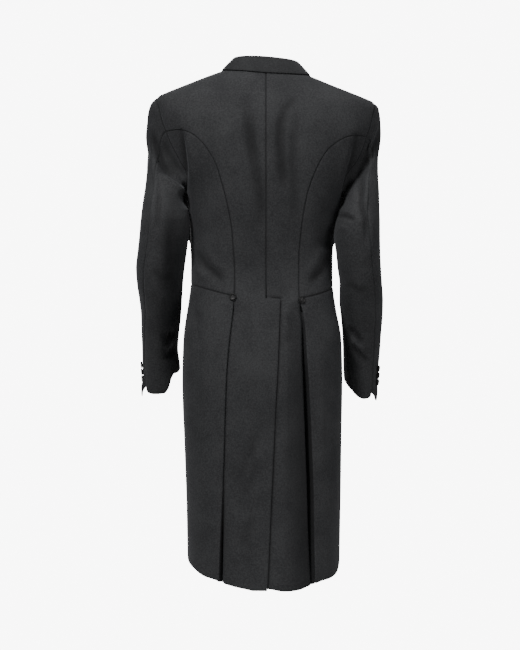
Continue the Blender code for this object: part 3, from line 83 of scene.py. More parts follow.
# Rows and columns of the coarse grids, and how finely they and the lines are read
TAIL_ROWS, PRINCESS_ROWS, CAP_ROWS, SHOULDER_ROWS, FRONT_ARM_ROWS = 13, 20, 5, 6, 8
BACK_COLUMNS, SIDE_COLUMNS, FORE_COLUMNS = 8, 7, 8
RELAX_ROUNDS, TURN_LENGTH = 160, 0.46
ROW_SPLIT, TAIL_SPLIT, COLUMN_SPLIT = 5, 12, 8
EDGE_STEPS = (0.035, 0.09)
TINY = 1e-6
# The wave texture repeats after this much of its scale
WAVE_UNITS = 20
TRACE_POINTS, EDGE_POINTS = 400, 10
SHARP_ANGLE = math.radians(58)


class Side(Enum):
    """Left or right of the wearer, as the sign of their across."""

    LEFT = -1
    RIGHT = 1

    @property
    def label(self) -> str:
        """The word that ends the node names of this side."""
        return self.name.lower()


class Border(Enum):
    """The four borders of a grid of points: axis, place of the border and place of the line beside it."""

    BOTTOM = (0, 0, 1)
    TOP = (0, -1, -2)
    FIRST = (1, 0, 1)
    LAST = (1, -1, -2)

    def line(self, face: Array, beside: int = 0) -> Array:
        """This border of a face, or the line beside it."""
        place = self.value[1 + beside]
        return face[:, place] if self.value[0] else face[place]


class Rounding(Enum):
    """How a border is rounded: depth, reach and how much shade is painted along it, from 0 to 1."""

    SEAM = (0.0015, 0.0017, 0.78)
    ARM_SEAM = (0.0015, 0.0017, 0.35)
    ARMHOLE = (0.0015, 0.0026, 1.0)
    EDGE = (0.0006, 0.0016, 0.30)


class Mixed(Enum):
    """What a mixing node mixes: the places of its share, its two inputs and its output."""

    FLOAT = (0, 2, 3, 0)
    RGBA = (0, 6, 7, 2)


def smooth(keys: Array, values: Array, at: Array | float) -> Array:
    """Values between the rows of a table, by a cubic that never overshoots them.

    Args:
        keys: rising keys of the rows.
        values: value of each row.
        at: keys to read at.

    Returns:
        The values there.
    """
    keys, values = np.asarray(keys, float), np.asarray(values, float)
    gaps = np.diff(keys)
    rises = np.diff(values) / gaps
    slopes = np.zeros_like(values)
    slopes[0], slopes[-1] = rises[0], rises[-1]
    before, after = rises[:-1], rises[1:]
    near, far = 2 * gaps[1:] + gaps[:-1], gaps[1:] + 2 * gaps[:-1]
    same = before * after > 0
    safe_before, safe_after = np.where(same, before, 1.0), np.where(same, after, 1.0)
    slopes[1:-1] = np.where(same, (near + far) / (near / safe_before + far / safe_after), 0.0)
    at = np.clip(at, keys[0], keys[-1])
    i = np.clip(np.searchsorted(keys, at, side="right") - 1, 0, len(gaps) - 1)
    s = (at - keys[i]) / gaps[i]
    first = values[i] * (1 + 2 * s) * (1 - s) ** 2 + gaps[i] * slopes[i] * s * (1 - s) ** 2
    second = values[i + 1] * s**2 * (3 - 2 * s) + gaps[i] * slopes[i + 1] * s**2 * (s - 1)
    return first + second


def ramp(value: Array | float, start: float, end: float) -> Array:
    """0 at start, 1 at end, with level ends."""
    s = np.clip((np.asarray(value, float) - start) / (end - start), 0.0, 1.0)
    return s * s * (3 - 2 * s)


def unit(vectors: Array) -> Array:
    """The vectors at length 1."""
    return vectors / np.maximum(np.linalg.norm(vectors, axis=-1, keepdims=True), 1e-12)


def seen(points: Array) -> tuple[Array, Array]:
    """Across and down of points in the view from behind."""
    scale = EYE_DISTANCE / (EYE_DISTANCE + points[..., 1]) / UNIT
    return EYE_ACROSS + (points[..., 0] - EYE_X) * scale, EYE_DOWN - (points[..., 2] - EYE_Z) * scale


def faced(points: Array) -> tuple[Array, Array]:
    """Across and height of points in a straight view of the front, in millimetres."""
    return points[..., 0] * 1000, points[..., 2] * 1000


def read_line(values: Array, at: Array) -> Array:
    """Reads rows of values at fractional places along a smooth line through them.

    Args:
        values: one row for each whole place.
        at: fractional places, from 0 to the last row.

    Returns:
        A row for each place.
    """
    padded = np.concatenate([2 * values[:1] - values[1:2], values, 2 * values[-1:] - values[-2:-1]])
    i = np.clip(at.astype(int), 0, len(values) - 2)
    s = (at - i).reshape(-1, *[1] * (values.ndim - 1))
    p0, p1, p2, p3 = (padded[i + k] for k in range(4))
    bend = (2 * p0 - 5 * p1 + 4 * p2 - p3) * s**2 + (-p0 + 3 * p1 - 3 * p2 + p3) * s**3
    return (2 * p1 + (p2 - p0) * s + bend) / 2


def read_broken(values: Array, at: Array, breaks: tuple[int, ...]) -> Array:
    """As read_line, with a corner allowed at each of the breaks.

    Args:
        values: one row for each whole place.
        at: rising fractional places.
        breaks: whole places of the corners.

    Returns:
        A row for each place.
    """
    ends = (0, *breaks, len(values) - 1)
    found = []
    for start, end in zip(ends, ends[1:]):
        here = at[(at >= start) & ((at < end) | (end == ends[-1]))]
        found.append(read_line(values[start : end + 1], here - start))
    return np.concatenate(found)


def graded(count: int, split: int) -> Array:
    """Fractional places along a coarse line of this many steps, closer together at its ends."""
    near, inside = np.array(EDGE_STEPS), np.linspace(0, count, count * split + 1)
    return np.unique(np.concatenate([near, inside, count - near]).round(6))


@dataclass(frozen=True)
class Crease:
    """A fold of the cloth along a drawn path: a valley with a ridge beside it.

    A negative depth is a valley. The ridge lies to the right of the path's direction as drawn. start and end
    are the strength left at the path's ends, and shade says how much shade is painted in the fold.
    """

    path: Path
    depth: float
    reach: float
    ridge: float = 0.0
    start: float = 0.0
    end: float = 0.0
    shade: float = 1.0

    def lift(self, across: Array, down: Array) -> Array:
        """How far this fold lifts the cloth.

        Args:
            across: across of the points, in the units of the path.
            down: down of the points, in the same units.

        Returns:
            The lift of each point, in metres.
        """
        nearest, beside, place = np.full_like(across, np.inf), np.zeros_like(across), np.zeros_like(across)
        lengths = [math.dist(*ends) for ends in zip(self.path, self.path[1:])]
        total, run = sum(lengths), 0.0
        for (x0, y0), (x1, y1), length in zip(self.path, self.path[1:], lengths):
            way_x, way_y = (x1 - x0) / length, (y1 - y0) / length
            along = np.clip((across - x0) * way_x + (down - y0) * way_y, 0, length)
            off_x, off_y = across - x0 - along * way_x, down - y0 - along * way_y
            distance = np.hypot(off_x, off_y)
            closer = distance < nearest
            nearest = np.where(closer, distance, nearest)
            sided = np.where(way_x * off_y - way_y * off_x < 0, distance, -distance)
            beside = np.where(closer, sided, beside)
            place = np.where(closer, (run + along) / total, place)
            run += length
        begun = self.start + (1 - self.start) * ramp(place, 0.0, FOLD_ENDS)
        ended = self.end + (1 - self.end) * ramp(place, 1.0, 1 - FOLD_ENDS)
        valley = np.exp(-((nearest / self.reach) ** 2))
        side_ridge = np.exp(-(((beside - RIDGE_OFF * self.reach) / (RIDGE_WIDTH * self.reach)) ** 2))
        return self.depth * np.minimum(begun, ended) * (valley - self.ridge * side_ridge)

    def press(self, across: Array, down: Array) -> Array:
        """The lift as far as it sets the painted shade; a wide fold counts little."""
        return self.lift(across, down) * (self.shade * min(1.0, (CRISP_REACH / self.reach) ** 2))


def folded(creases: tuple[Crease, ...], across: Array, down: Array) -> Array:
    """The lift of all these folds together."""
    return sum((crease.lift(across, down) for crease in creases), np.zeros_like(across))


def painted_dark(creases: tuple[Crease, ...], across: Array, down: Array) -> Array:
    """How far all these folds together press the cloth in, minus, which sets how much shade is painted there.
    """
    return sum((crease.press(across, down) for crease in creases), np.zeros_like(across))


@dataclass(frozen=True)
class BodyForm:
    """Sizes of the worn coat's body.

    sections has rows of height, half width, back depth, front depth and squareness; shifts has height and the
    sideways shift of the whole section. The folds of the back end and those of the fronts start between two
    turns each. The steps, softening and blend say how the sections are read at close heights.
    """

    sections: Rows = (
        (-1.12, 0.1598, 0.1255, 0.096, 2.35), (-1.022, 0.1612, 0.1275, 0.1, 2.35),
        (-0.92, 0.163, 0.1295, 0.104, 2.35), (-0.784, 0.1663, 0.132, 0.11, 2.35),
        (-0.649, 0.1697, 0.1325, 0.118, 2.35), (-0.564, 0.1675, 0.1225, 0.12, 2.3),
        (-0.496, 0.157, 0.107, 0.117, 2.25), (-0.474, 0.1536, 0.101, 0.1145, 2.22),
        (-0.44, 0.15, 0.095, 0.112, 2.2), (-0.41, 0.1499, 0.0925, 0.113, 2.2),
        (-0.36, 0.152, 0.0975, 0.1185, 2.22), (-0.3, 0.1584, 0.1075, 0.1215, 2.25),
        (-0.262, 0.1635, 0.113, 0.122, 2.28), (-0.24, 0.17, 0.115, 0.12, 2.3),
        (-0.2, 0.188, 0.117, 0.115, 2.32), (-0.15, 0.213, 0.114, 0.104, 2.32),
        (-0.1, 0.231, 0.105, 0.09, 2.28), (-0.07, 0.234, 0.0955, 0.08, 2.2),
        (-0.055, 0.228, 0.0895, 0.074, 2.15), (-0.047, 0.212, 0.0855, 0.07, 2.12),
        (-0.038, 0.19, 0.0815, 0.066, 2.1), (-0.021, 0.147, 0.0725, 0.06, 2.08),
        (-0.004, 0.1035, 0.063, 0.053, 2.05), (0, 0.092, 0.0605, 0.05, 2.05),
        (0.004, 0.082, 0.058, 0.047, 2.05), (0.008, 0.075, 0.0562, 0.044, 2.05),
        (0.013, 0.07, 0.0548, 0.042, 2.05),
    )
    shifts: Path = (
        (-1.12, -0.002), (-0.92, -0.002), (-0.784, -0.0033), (-0.649, -0.0045), (-0.564, -0.0045),
        (-0.496, -0.006), (-0.377, -0.0056), (-0.34, -0.0038), (-0.262, -0.0005), (-0.18, 0.0025),
        (-0.1, 0.003), (0.02, 0.003),
    )
    shoulder_tilt: float = 0.0063
    tilt_reach: float = 0.15
    tilt_foot: float = -0.36
    tilt_top: float = -0.10
    fullness: float = 0.012
    fullness_turns: Row = (0.51, 0.57, 0.63, 0.76)
    fullness_heights: Row = (-0.375, -0.335, -0.262, -0.225)
    back_folds: Pair = (0.47, 0.53)
    front_folds: Pair = (0.50, 0.58)
    quarter_steps: int = 120
    swing_steps: int = 240
    step: float = 0.0025
    fine_above: float = -0.1
    fine_step: float = 0.001
    soften: float = 0.010
    soften_steps: int = 12
    exact_blend: Pair = (-0.150, -0.110)


# Folds of the back and the tails, as drawn from behind; each paints shade in its valley, and the wide ones
# with a large shade are mostly painted shade
BACK_FOLDS = (
    Crease(
        ((247, 100), (248.4, 118), (251, 142), (256, 172), (261.5, 205), (263, 240)),
        -0.0064, 5.2, start=0.3, shade=1.15,
    ),
    Crease(((247.6, 112), (250, 136), (254.5, 165)), -0.0016, 7.5, shade=3),
    Crease(
        ((293, 101), (286, 110), (281, 124), (280, 145), (282.5, 170), (286, 200)),
        -0.0064, 4.8, start=0.4, shade=1.2,
    ),
    Crease(
        ((298, 112), (294.4, 138), (293.6, 170), (295.4, 200), (298, 236)), -0.0040, 5.2, start=0.1, shade=1.2
    ),
    Crease(((322, 196), (324, 226), (328, 262)), -0.0024, 11, shade=6),
    Crease(((266, 110), (266, 200)), 0.0016, 8),
    Crease(((213, 118), (209, 150), (212, 175)), -0.0018, 8),
    Crease(((181, 132), (183, 145), (185.4, 164), (187, 184)), -0.0062, 2.6, ridge=0.35, start=0.5),
    Crease(((191, 134), (191, 170), (193, 205)), 0.0022, 4.5),
    Crease(((357.4, 136), (353.5, 156), (347, 178), (342, 200)), -0.0052, 2.8, start=0.6),
    Crease(((349, 142), (343, 170), (336, 200)), 0.0034, 4.2),
    Crease(((194, 248), (206, 266), (226, 285)), -0.005, 4.4),
    Crease(((192, 266), (206, 280)), 0.0024, 4),
    Crease(((200, 240), (214, 262), (230, 276)), 0.002, 4.5),
    Crease(((330, 250), (322, 270), (308, 288)), -0.005, 4.6),
    Crease(((335, 222), (330, 238), (326, 254)), -0.004, 5),
    Crease(((325, 244), (316, 262), (304, 276)), 0.002, 4.5),
    Crease(((197.5, 308), (197, 330), (198.5, 352)), -0.0046, 3.8),
    Crease(((209, 322), (206, 380), (205, 440)), 0.0028, 6),
    Crease(((331, 330), (333, 400), (331, 470)), -0.0034, 6),
    Crease(((321, 340), (322, 420), (323, 500)), 0.0024, 5),
    Crease(((288, 304), (286.5, 321), (285, 345)), 0.003, 5),
    Crease(((262, 420), (250, 458), (234, 494)), -0.0034, 5.6, ridge=0.3),
    Crease(((261, 455), (252, 480), (240, 502)), -0.0026, 4.6),
    Crease(((256, 512), (248, 534), (239, 552)), -0.003, 5),
    Crease(((258, 486), (246, 516), (236, 540)), 0.002, 4.6),
    Crease(((290, 372), (292, 440), (296, 520)), -0.0024, 6.5),
    Crease(((268, 297), (282, 298.2)), -0.0034, 1.2, start=0.8, end=0.8),
)
# How far the back lies open beside each pleat. Rows of down, width and depth of the hollow along the pleat's
# edge, then width and depth of the soft slope towards it
PLEAT_OPEN = {
    Side.LEFT: (
        (296, 0.006, 0.001, 0.03, 0), (470, 0.006, 0.001, 0.03, 0), (510, 0.007, 0.003, 0.03, 0.001),
        (545, 0.01, 0.008, 0.03, 0.002), (575, 0.012, 0.01, 0.03, 0.002),
    ),
    Side.RIGHT: (
        (300, 0.006, 0.001, 0.04, 0.001), (318, 0.008, 0.003, 0.05, 0.003), (345, 0.01, 0.008, 0.06, 0.006),
        (380, 0.012, 0.015, 0.07, 0.008), (430, 0.012, 0.017, 0.08, 0.009),
        (500, 0.011, 0.015, 0.085, 0.01), (550, 0.009, 0.009, 0.085, 0.01),
        (575, 0.008, 0.005, 0.085, 0.009),
    ),
}
# Folds of the fronts, by across and height in millimetres, for the hidden side
FRONT_FOLDS = (
    Crease(((-142, -262), (-118, -300), (-92, -330)), -0.0022, 11, ridge=0.4),
    Crease(((146, -258), (122, -292), (98, -326)), -0.0024, 11, ridge=-0.3),
    Crease(((-30, -412), (-74, -396), (-120, -392)), -0.002, 9),
    Crease(((22, -414), (66, -402), (116, -398)), -0.0018, 9),
    Crease(((-104, -520), (-110, -640), (-112, -800)), -0.0026, 16),
    Crease(((108, -520), (112, -660), (110, -820)), -0.0024, 16),
    Crease(((-70, -520), (-82, -620)), 0.0016, 14),
    Crease(((74, -530), (84, -640)), 0.0015, 14),
)


class CoatChart:
    """Outer face of the coat by turn and height.

    A turn is 0 at the centre back, 0.5 at the side and 1 at the centre front, and minus on the left.
    """

    def __init__(self, form: BodyForm) -> None:
        """Works out the sections of the body at close heights.

        Args:
            form: sizes of the body.
        """
        self.form = form
        keys, *columns = np.array(form.sections).T
        even = np.arange(keys[0], keys[-1], form.step)
        pad = form.soften_steps
        bell = np.exp(-((np.arange(-pad, pad + 1) * form.step / form.soften) ** 2))
        bell /= bell.sum()
        low = np.arange(keys[0], form.fine_above, form.step)
        high = np.arange(form.fine_above, keys[-1] + TINY, form.fine_step)
        self.heights = np.concatenate([low, high])
        near_top = ramp(self.heights, *form.exact_blend)
        sizes = []
        for column in columns:
            soft = np.convolve(np.pad(smooth(keys, column, even), pad, mode="edge"), bell, mode="valid")
            mixed = np.interp(self.heights, even, soft)
            sizes.append(mixed * (1 - near_top) + smooth(keys, column, self.heights) * near_top)
        rows = [self._section(*row) for row in zip(*sizes)]
        self.lengths = np.array([lengths for _, lengths in rows])
        outline = np.array([points for points, _ in rows])
        height = np.broadcast_to(self.heights[:, None, None], (*outline.shape[:2], 1))
        self.points = np.concatenate([outline, height], -1)
        self.turns = np.linspace(0.0, 1.0, 2 * form.quarter_steps + 1)
        around = np.gradient(self.points, self.turns, axis=1)
        up = np.gradient(self.points, self.heights, axis=0)
        normals = np.cross(around, up)
        normals[:, (0, -1), 0] = 0.0
        self.normals = unit(normals)

    def _section(self, width: float, back: float, front: float, square: float) -> tuple[Array, list[float]]:
        """Half of one section, from the centre back to the centre front.

        Args:
            width: half width.
            back: depth of the back quarter.
            front: depth of the front quarter.
            square: squareness, 2 for an ellipse.

        Returns:
            Its points, and the lengths of its two quarters.
        """
        swing = np.linspace(0.0, math.pi / 2, self.form.swing_steps + 1)
        across, inward = width * np.sin(swing) ** (2 / square), np.cos(swing) ** (2 / square)
        quarters, lengths = [], []
        for reach in (-back, front):
            line = np.stack([across, reach * inward], -1)
            run = np.concatenate([[0.0], np.cumsum(np.linalg.norm(np.diff(line, axis=0), axis=1))])
            even = np.linspace(0.0, run[-1], self.form.quarter_steps + 1)
            quarters.append(np.stack([np.interp(even, run, line[:, k]) for k in (0, 1)], -1))
            lengths.append(run[-1])
        return np.concatenate([quarters[0], quarters[1][-2::-1]]), lengths

    def shift(self, height: Array) -> Array:
        """Sideways shift of the section at this height."""
        keys, values = np.array(self.form.shifts).T
        return smooth(keys, values, height)

    def tilt(self, across: Array, height: Array) -> Array:
        """How much the lower right shoulder drops or raises the cloth here."""
        lean = np.sin(np.clip(across / self.form.tilt_reach, -1, 1) * math.pi / 2)
        return -self.form.shoulder_tilt * lean * ramp(height, self.form.tilt_foot, self.form.tilt_top)

    def look(self, turn: Array, height: Array) -> tuple[Array, Array]:
        """Points and normals of the plain form.

        Args:
            turn: turn of each place.
            height: height of each place.

        Returns:
            The points, and the normals.
        """
        turn, height = np.broadcast_arrays(np.asarray(turn, float), np.asarray(height, float))
        side = np.where(turn < 0, -1.0, 1.0)
        turn = np.abs(turn)
        side = np.where(turn > 1, -side, side)
        turn = np.where(turn > 1, 2 - turn, turn)
        row = np.interp(height, self.heights, np.arange(len(self.heights)))
        col = turn * (len(self.turns) - 1)
        i = np.clip(row.astype(int), 0, len(self.heights) - 2)
        j = np.clip(col.astype(int), 0, len(self.turns) - 2)
        a, b = (row - i)[..., None], (col - j)[..., None]
        found = []
        for table in (self.points, self.normals):
            low = table[i, j] * (1 - b) + table[i, j + 1] * b
            high = table[i + 1, j] * (1 - b) + table[i + 1, j + 1] * b
            value = low * (1 - a) + high * a
            value[..., 0] *= side
            found.append(value)
        return found[0], unit(found[1])

    def point(self, turn: Array, height: Array, lift: Array | float = 0.0) -> Array:
        """Points of the worn coat with its folds, this far above its outer face."""
        placed, normal = self.placed(turn, height)
        return placed + normal * (lift + self.folds(turn, placed) + self.fullness(turn, height))[..., None]

    def placed(self, turn: Array, height: Array) -> tuple[Array, Array]:
        """The plain form as it is worn, with its shift and tilt.

        Args:
            turn: turn of each place.
            height: height of each place.

        Returns:
            The points, and the normals.
        """
        base, normal = self.look(turn, height)
        across, depth, level = np.moveaxis(base, -1, 0)
        return np.stack([across + self.shift(level), depth, level + self.tilt(across, level)], -1), normal

    def folds(self, turn: Array, placed: Array, rule: Callable = folded) -> Array:
        """Folds at points of the plain form, summed up by this rule, which is folded, or painted_dark for the
        painted shade.
        """
        behind, before = (ramp(np.abs(turn), *ends) for ends in (self.form.back_folds, self.form.front_folds))
        return rule(BACK_FOLDS, *seen(placed)) * (1 - behind) + rule(FRONT_FOLDS, *faced(placed)) * before

    def fullness(self, turn: Array, height: Array) -> Array:
        """How far the chest stands out below the front of each armhole.

        Args:
            turn: turn of each place.
            height: height of each place.

        Returns:
            The lift of each place.
        """
        turns, heights = self.form.fullness_turns, self.form.fullness_heights
        around = ramp(np.abs(turn), *turns[:2]) * (1 - ramp(np.abs(turn), *turns[2:]))
        return self.form.fullness * around * ramp(height, *heights[:2]) * (1 - ramp(height, *heights[2:]))

    def step(self, turn: Array, height: Array, distance: Array | float) -> Array:
        """The turn that lies this far along the cloth from another one."""
        back, front = (np.interp(height, self.heights, self.lengths[:, k]) for k in (0, 1))
        return turn + distance / (2 * np.where(np.abs(turn) < 0.5, back, front))

    def find(self, across: Array, height: Array) -> Array:
        """Finds places of the back.

        Args:
            across: across of the places in the world.
            height: their heights in the world.

        Returns:
            Turn and height of each place.
        """
        low = height
        for _ in range(FIND_ROUNDS):
            wide = across - self.shift(low)
            low = height - self.tilt(wide, low)
        return np.stack([self._turns(wide, low, False) * np.where(wide < 0, -1.0, 1.0), low], -1)

    def _turns(self, across: Array, height: Array, front: bool) -> Array:
        """Turns of places of the plain form.

        Args:
            across: across of the places, on either side.
            height: their heights.
            front: whether they are on the front or on the back.

        Returns:
            The turns, without a sign.
        """
        middle, found = self.form.quarter_steps, []
        half = slice(None, middle - 1, -1) if front else slice(middle + 1)
        for wide, row in zip(np.abs(across), np.interp(height, self.heights, np.arange(len(self.heights)))):
            i = min(int(row), len(self.heights) - 2)
            widths = self.points[i, :, 0] * (1 - row + i) + self.points[i + 1, :, 0] * (row - i)
            found.append(np.interp(wide, widths[half], self.turns[half]))
        return np.array(found)

    def drawn(self, path: Path) -> Array:
        """Places of a path drawn in the view from behind.

        Args:
            path: across and down of its points.

        Returns:
            Turn and height of each point.
        """
        across, down = np.asarray(path, float).T
        depth = np.full_like(across, DEPTH_GUESS)
        for _ in range(DRAWN_ROUNDS):
            scale = (EYE_DISTANCE + depth) / EYE_DISTANCE * UNIT
            place = self.find(EYE_X + (across - EYE_ACROSS) * scale, EYE_Z - (down - EYE_DOWN) * scale)
            depth = self.look(place[:, 0], place[:, 1])[0][:, 1]
        return place

    def on_front(self, path: Path, side: Side) -> Array:
        """Places of a path on one front.

        Args:
            path: across and height of its points; minus across is past the centre.
            side: which front.

        Returns:
            Turn and height of each point.
        """
        across, height = np.asarray(path, float).T
        turns = self._turns(across, height, True)
        return np.column_stack([np.where(across >= 0, turns, 2 - turns) * side.value, height])

    def trace(self, path: Array, count: int) -> Array:
        """Steps along a smooth line through a path, evenly spaced over the cloth.

        Args:
            path: turn and height of its points.
            count: how many steps.

        Returns:
            Turn and height of each step.
        """
        keys = self._run(path, TINY)
        fine = np.linspace(0.0, keys[-1], TRACE_POINTS)
        line = np.stack([smooth(keys, path[:, k], fine) for k in (0, 1)], -1)
        run = self._run(line)
        even = np.linspace(0.0, run[-1], count + 1)
        return np.stack([np.interp(even, run, line[:, k]) for k in (0, 1)], -1)

    def _run(self, line: Array, least: float = 0.0) -> Array:
        """Length over the cloth up to each point of a line, each step at least this long."""
        spans = np.linalg.norm(np.diff(self.look(line[:, 0], line[:, 1])[0], axis=0), axis=1)
        return np.concatenate([[0.0], np.cumsum(np.maximum(spans, least))])


def patch(bottom: Array, top: Array, first: Array, last: Array) -> Array:
    """Grid of surface coordinates between four border lines, evened out with no fold in it.

    Args:
        bottom: lower border, from first to last.
        top: upper border, from first to last.
        first: first border, from bottom to top.
        last: last border, from bottom to top.

    Returns:
        The grid, rows by columns by turn and height.
    """
    v = np.linspace(0, 1, len(first))[:, None, None]
    u = np.linspace(0, 1, len(bottom))[None, :, None]
    sides = first[:, None] * (1 - u) + last[:, None] * u
    ends = bottom[None] * (1 - v) + top[None] * v
    corners = (bottom[0] * (1 - u) + bottom[-1] * u) * (1 - v) + (top[0] * (1 - u) + top[-1] * u) * v
    flat = (sides + ends - corners) * (TURN_LENGTH, 1.0)
    for _ in range(RELAX_ROUNDS):
        up, across = (flat[2:, 1:-1] - flat[:-2, 1:-1]) / 2, (flat[1:-1, 2:] - flat[1:-1, :-2]) / 2
        alpha, gamma = ((way * way).sum(-1, keepdims=True) for way in (across, up))
        beta = (up * across).sum(-1, keepdims=True)
        twist = flat[2:, 2:] - flat[:-2, 2:] - flat[2:, :-2] + flat[:-2, :-2]
        wanted = alpha * (flat[2:, 1:-1] + flat[:-2, 1:-1]) + gamma * (flat[1:-1, 2:] + flat[1:-1, :-2])
        flat[1:-1, 1:-1] = (wanted - beta * twist / 2) / (2 * (alpha + gamma))
    return flat / (TURN_LENGTH, 1.0)


@dataclass(frozen=True)
class SeamPaths:
    """Seams of one side as drawn.

    Those of the back and the tails are by across and down from behind, the cutaway, the side of the waist and
    the lapel's foot by turn or across and height.
    """

    princess: Path
    armhole_upper: Path
    armhole_lower: Path
    pleat: Path
    tail_hem: Path
    skirt_hem: Path
    cutaway: Path
    waist_side: Path
    lapel_start: float
    lapel_foot: Pair


PATHS = {
    Side.LEFT: SeamPaths(
        princess=(
            (234, 296), (234.5, 274), (233.3, 251), (231, 225), (227, 204), (221, 181), (215, 162.6),
            (207, 149), (199.6, 139.6), (192.5, 134), (186, 130.8), (178, 129.4), (166, 131.5),
        ),
        armhole_upper=((166, 131.5), (161, 117), (157.6, 103)),
        armhole_lower=((166, 131.5), (173.6, 149), (182.4, 166), (186.4, 177), (187.6, 187)),
        pleat=(
            (234, 296), (232, 316), (229.5, 335), (227, 360), (225.3, 390), (223.3, 456), (221.2, 512),
            (219, 561), (218.4, 583),
        ),
        tail_hem=((252.6, 591.2), (245, 589.4), (237.4, 588), (228, 585.8), (218.4, 583)),
        skirt_hem=((218.4, 581.2), (211, 578.8), (204.4, 576.6), (198, 572.4), (192.6, 567.4)),
        cutaway=(
            (0.455, -1.026), (0.5, -1.011), (0.58, -0.952), (0.67, -0.864), (0.76, -0.756), (0.85, -0.63),
            (0.93, -0.52), (0.985, -0.434),
        ),
        waist_side=((0.3, -0.457), (0.4, -0.4485), (0.53, -0.444), (0.75, -0.44), (0.985, -0.434)),
        lapel_start=-0.388,
        lapel_foot=(0.004, -0.386),
    ),
    Side.RIGHT: SeamPaths(
        princess=(
            (299.6, 298.4), (299, 267), (300, 244), (303, 219), (306.7, 198), (312.8, 178), (319.7, 162.6),
            (327.4, 150.4), (336.6, 142), (346, 137), (355, 135), (366.5, 136.5),
        ),
        armhole_upper=((366.5, 136.5), (371.6, 120), (374.6, 108)),
        armhole_lower=((366.5, 136.5), (358.6, 158), (348, 176), (344.3, 186), (342.4, 193)),
        pleat=(
            (299.6, 298.4), (305, 322), (307, 348), (308.5, 372), (310.5, 400), (312.4, 442), (314.5, 498),
            (315.2, 554), (316, 585.6),
        ),
        tail_hem=((259, 588.8), (268.2, 589.6), (286.5, 592), (300.5, 590.8), (308, 588.6), (316, 585.6)),
        skirt_hem=((316, 583.4), (322, 581), (330, 578.4), (334.6, 575.4), (337.8, 571)),
        cutaway=(
            (0.462, -1.032), (0.5, -1.019), (0.58, -0.96), (0.67, -0.87), (0.76, -0.76), (0.85, -0.632),
            (0.93, -0.52), (0.985, -0.434),
        ),
        waist_side=((0.3, -0.468), (0.4, -0.458), (0.53, -0.45), (0.75, -0.442), (0.985, -0.434)),
        lapel_start=-0.35,
        lapel_foot=(0.017, -0.348),
    ),
}

CENTRE_ACROSS = 266
VENT_TOP = 298
VENT_EDGE = (
    (280.2, 298), (279, 325), (278, 352), (277, 377), (275.3, 400), (273, 456), (270.3, 512), (268, 568),
    (266.6, 592.3),
)
# Turn and height of the shoulder seam from its tip to the neck, and of the neck seam's middle in front
SHOULDER = ((0.5, -0.055), (0.5, -0.03), (0.5, -0.012), (0.5, 0.006))
NECK_FRONT = (0.58, 0.0065)
UNDERARM = ((0.53, -0.43), (0.531, -0.35), (0.538, -0.3), (0.556, -0.2585))
ARMPIT_BACK = ((0.435, -0.25), (0.475, -0.259), (0.52, -0.2625))
ARMHOLE_FRONT = (
    (0.1605, -0.243), (0.159, -0.22), (0.164, -0.188), (0.173, -0.156), (0.186, -0.124), (0.203, -0.094),
    (0.218, -0.07),
)
ROLL_LINE = (
    (-0.016, -0.412), (-0.004, -0.385), (0.008, -0.35), (0.022, -0.29), (0.035, -0.22), (0.047, -0.14),
    (0.057, -0.07), (0.063, -0.025), (0.066, 0),
)
# Row of the forepart and its height at the front edge; row of the back and its down at the centre
FRONT_ROWS = ((0, -0.434), (10, -0.345), (20, -0.25), (28, -0.085), (34, 0))
CENTRE_ROWS = ((0, 298), (5, 246), (10, 200), (15, 156), (20, 113), (25, 88), (31, 71.2))
# Rows above the hem over which the cloth under the pleats is cut higher
RISE_ROWS = 3.0
TAIL_DOWNS = (298, 303, 311, 323, 340, 362, 390, 420, 452, 484, 516, 546, 572)


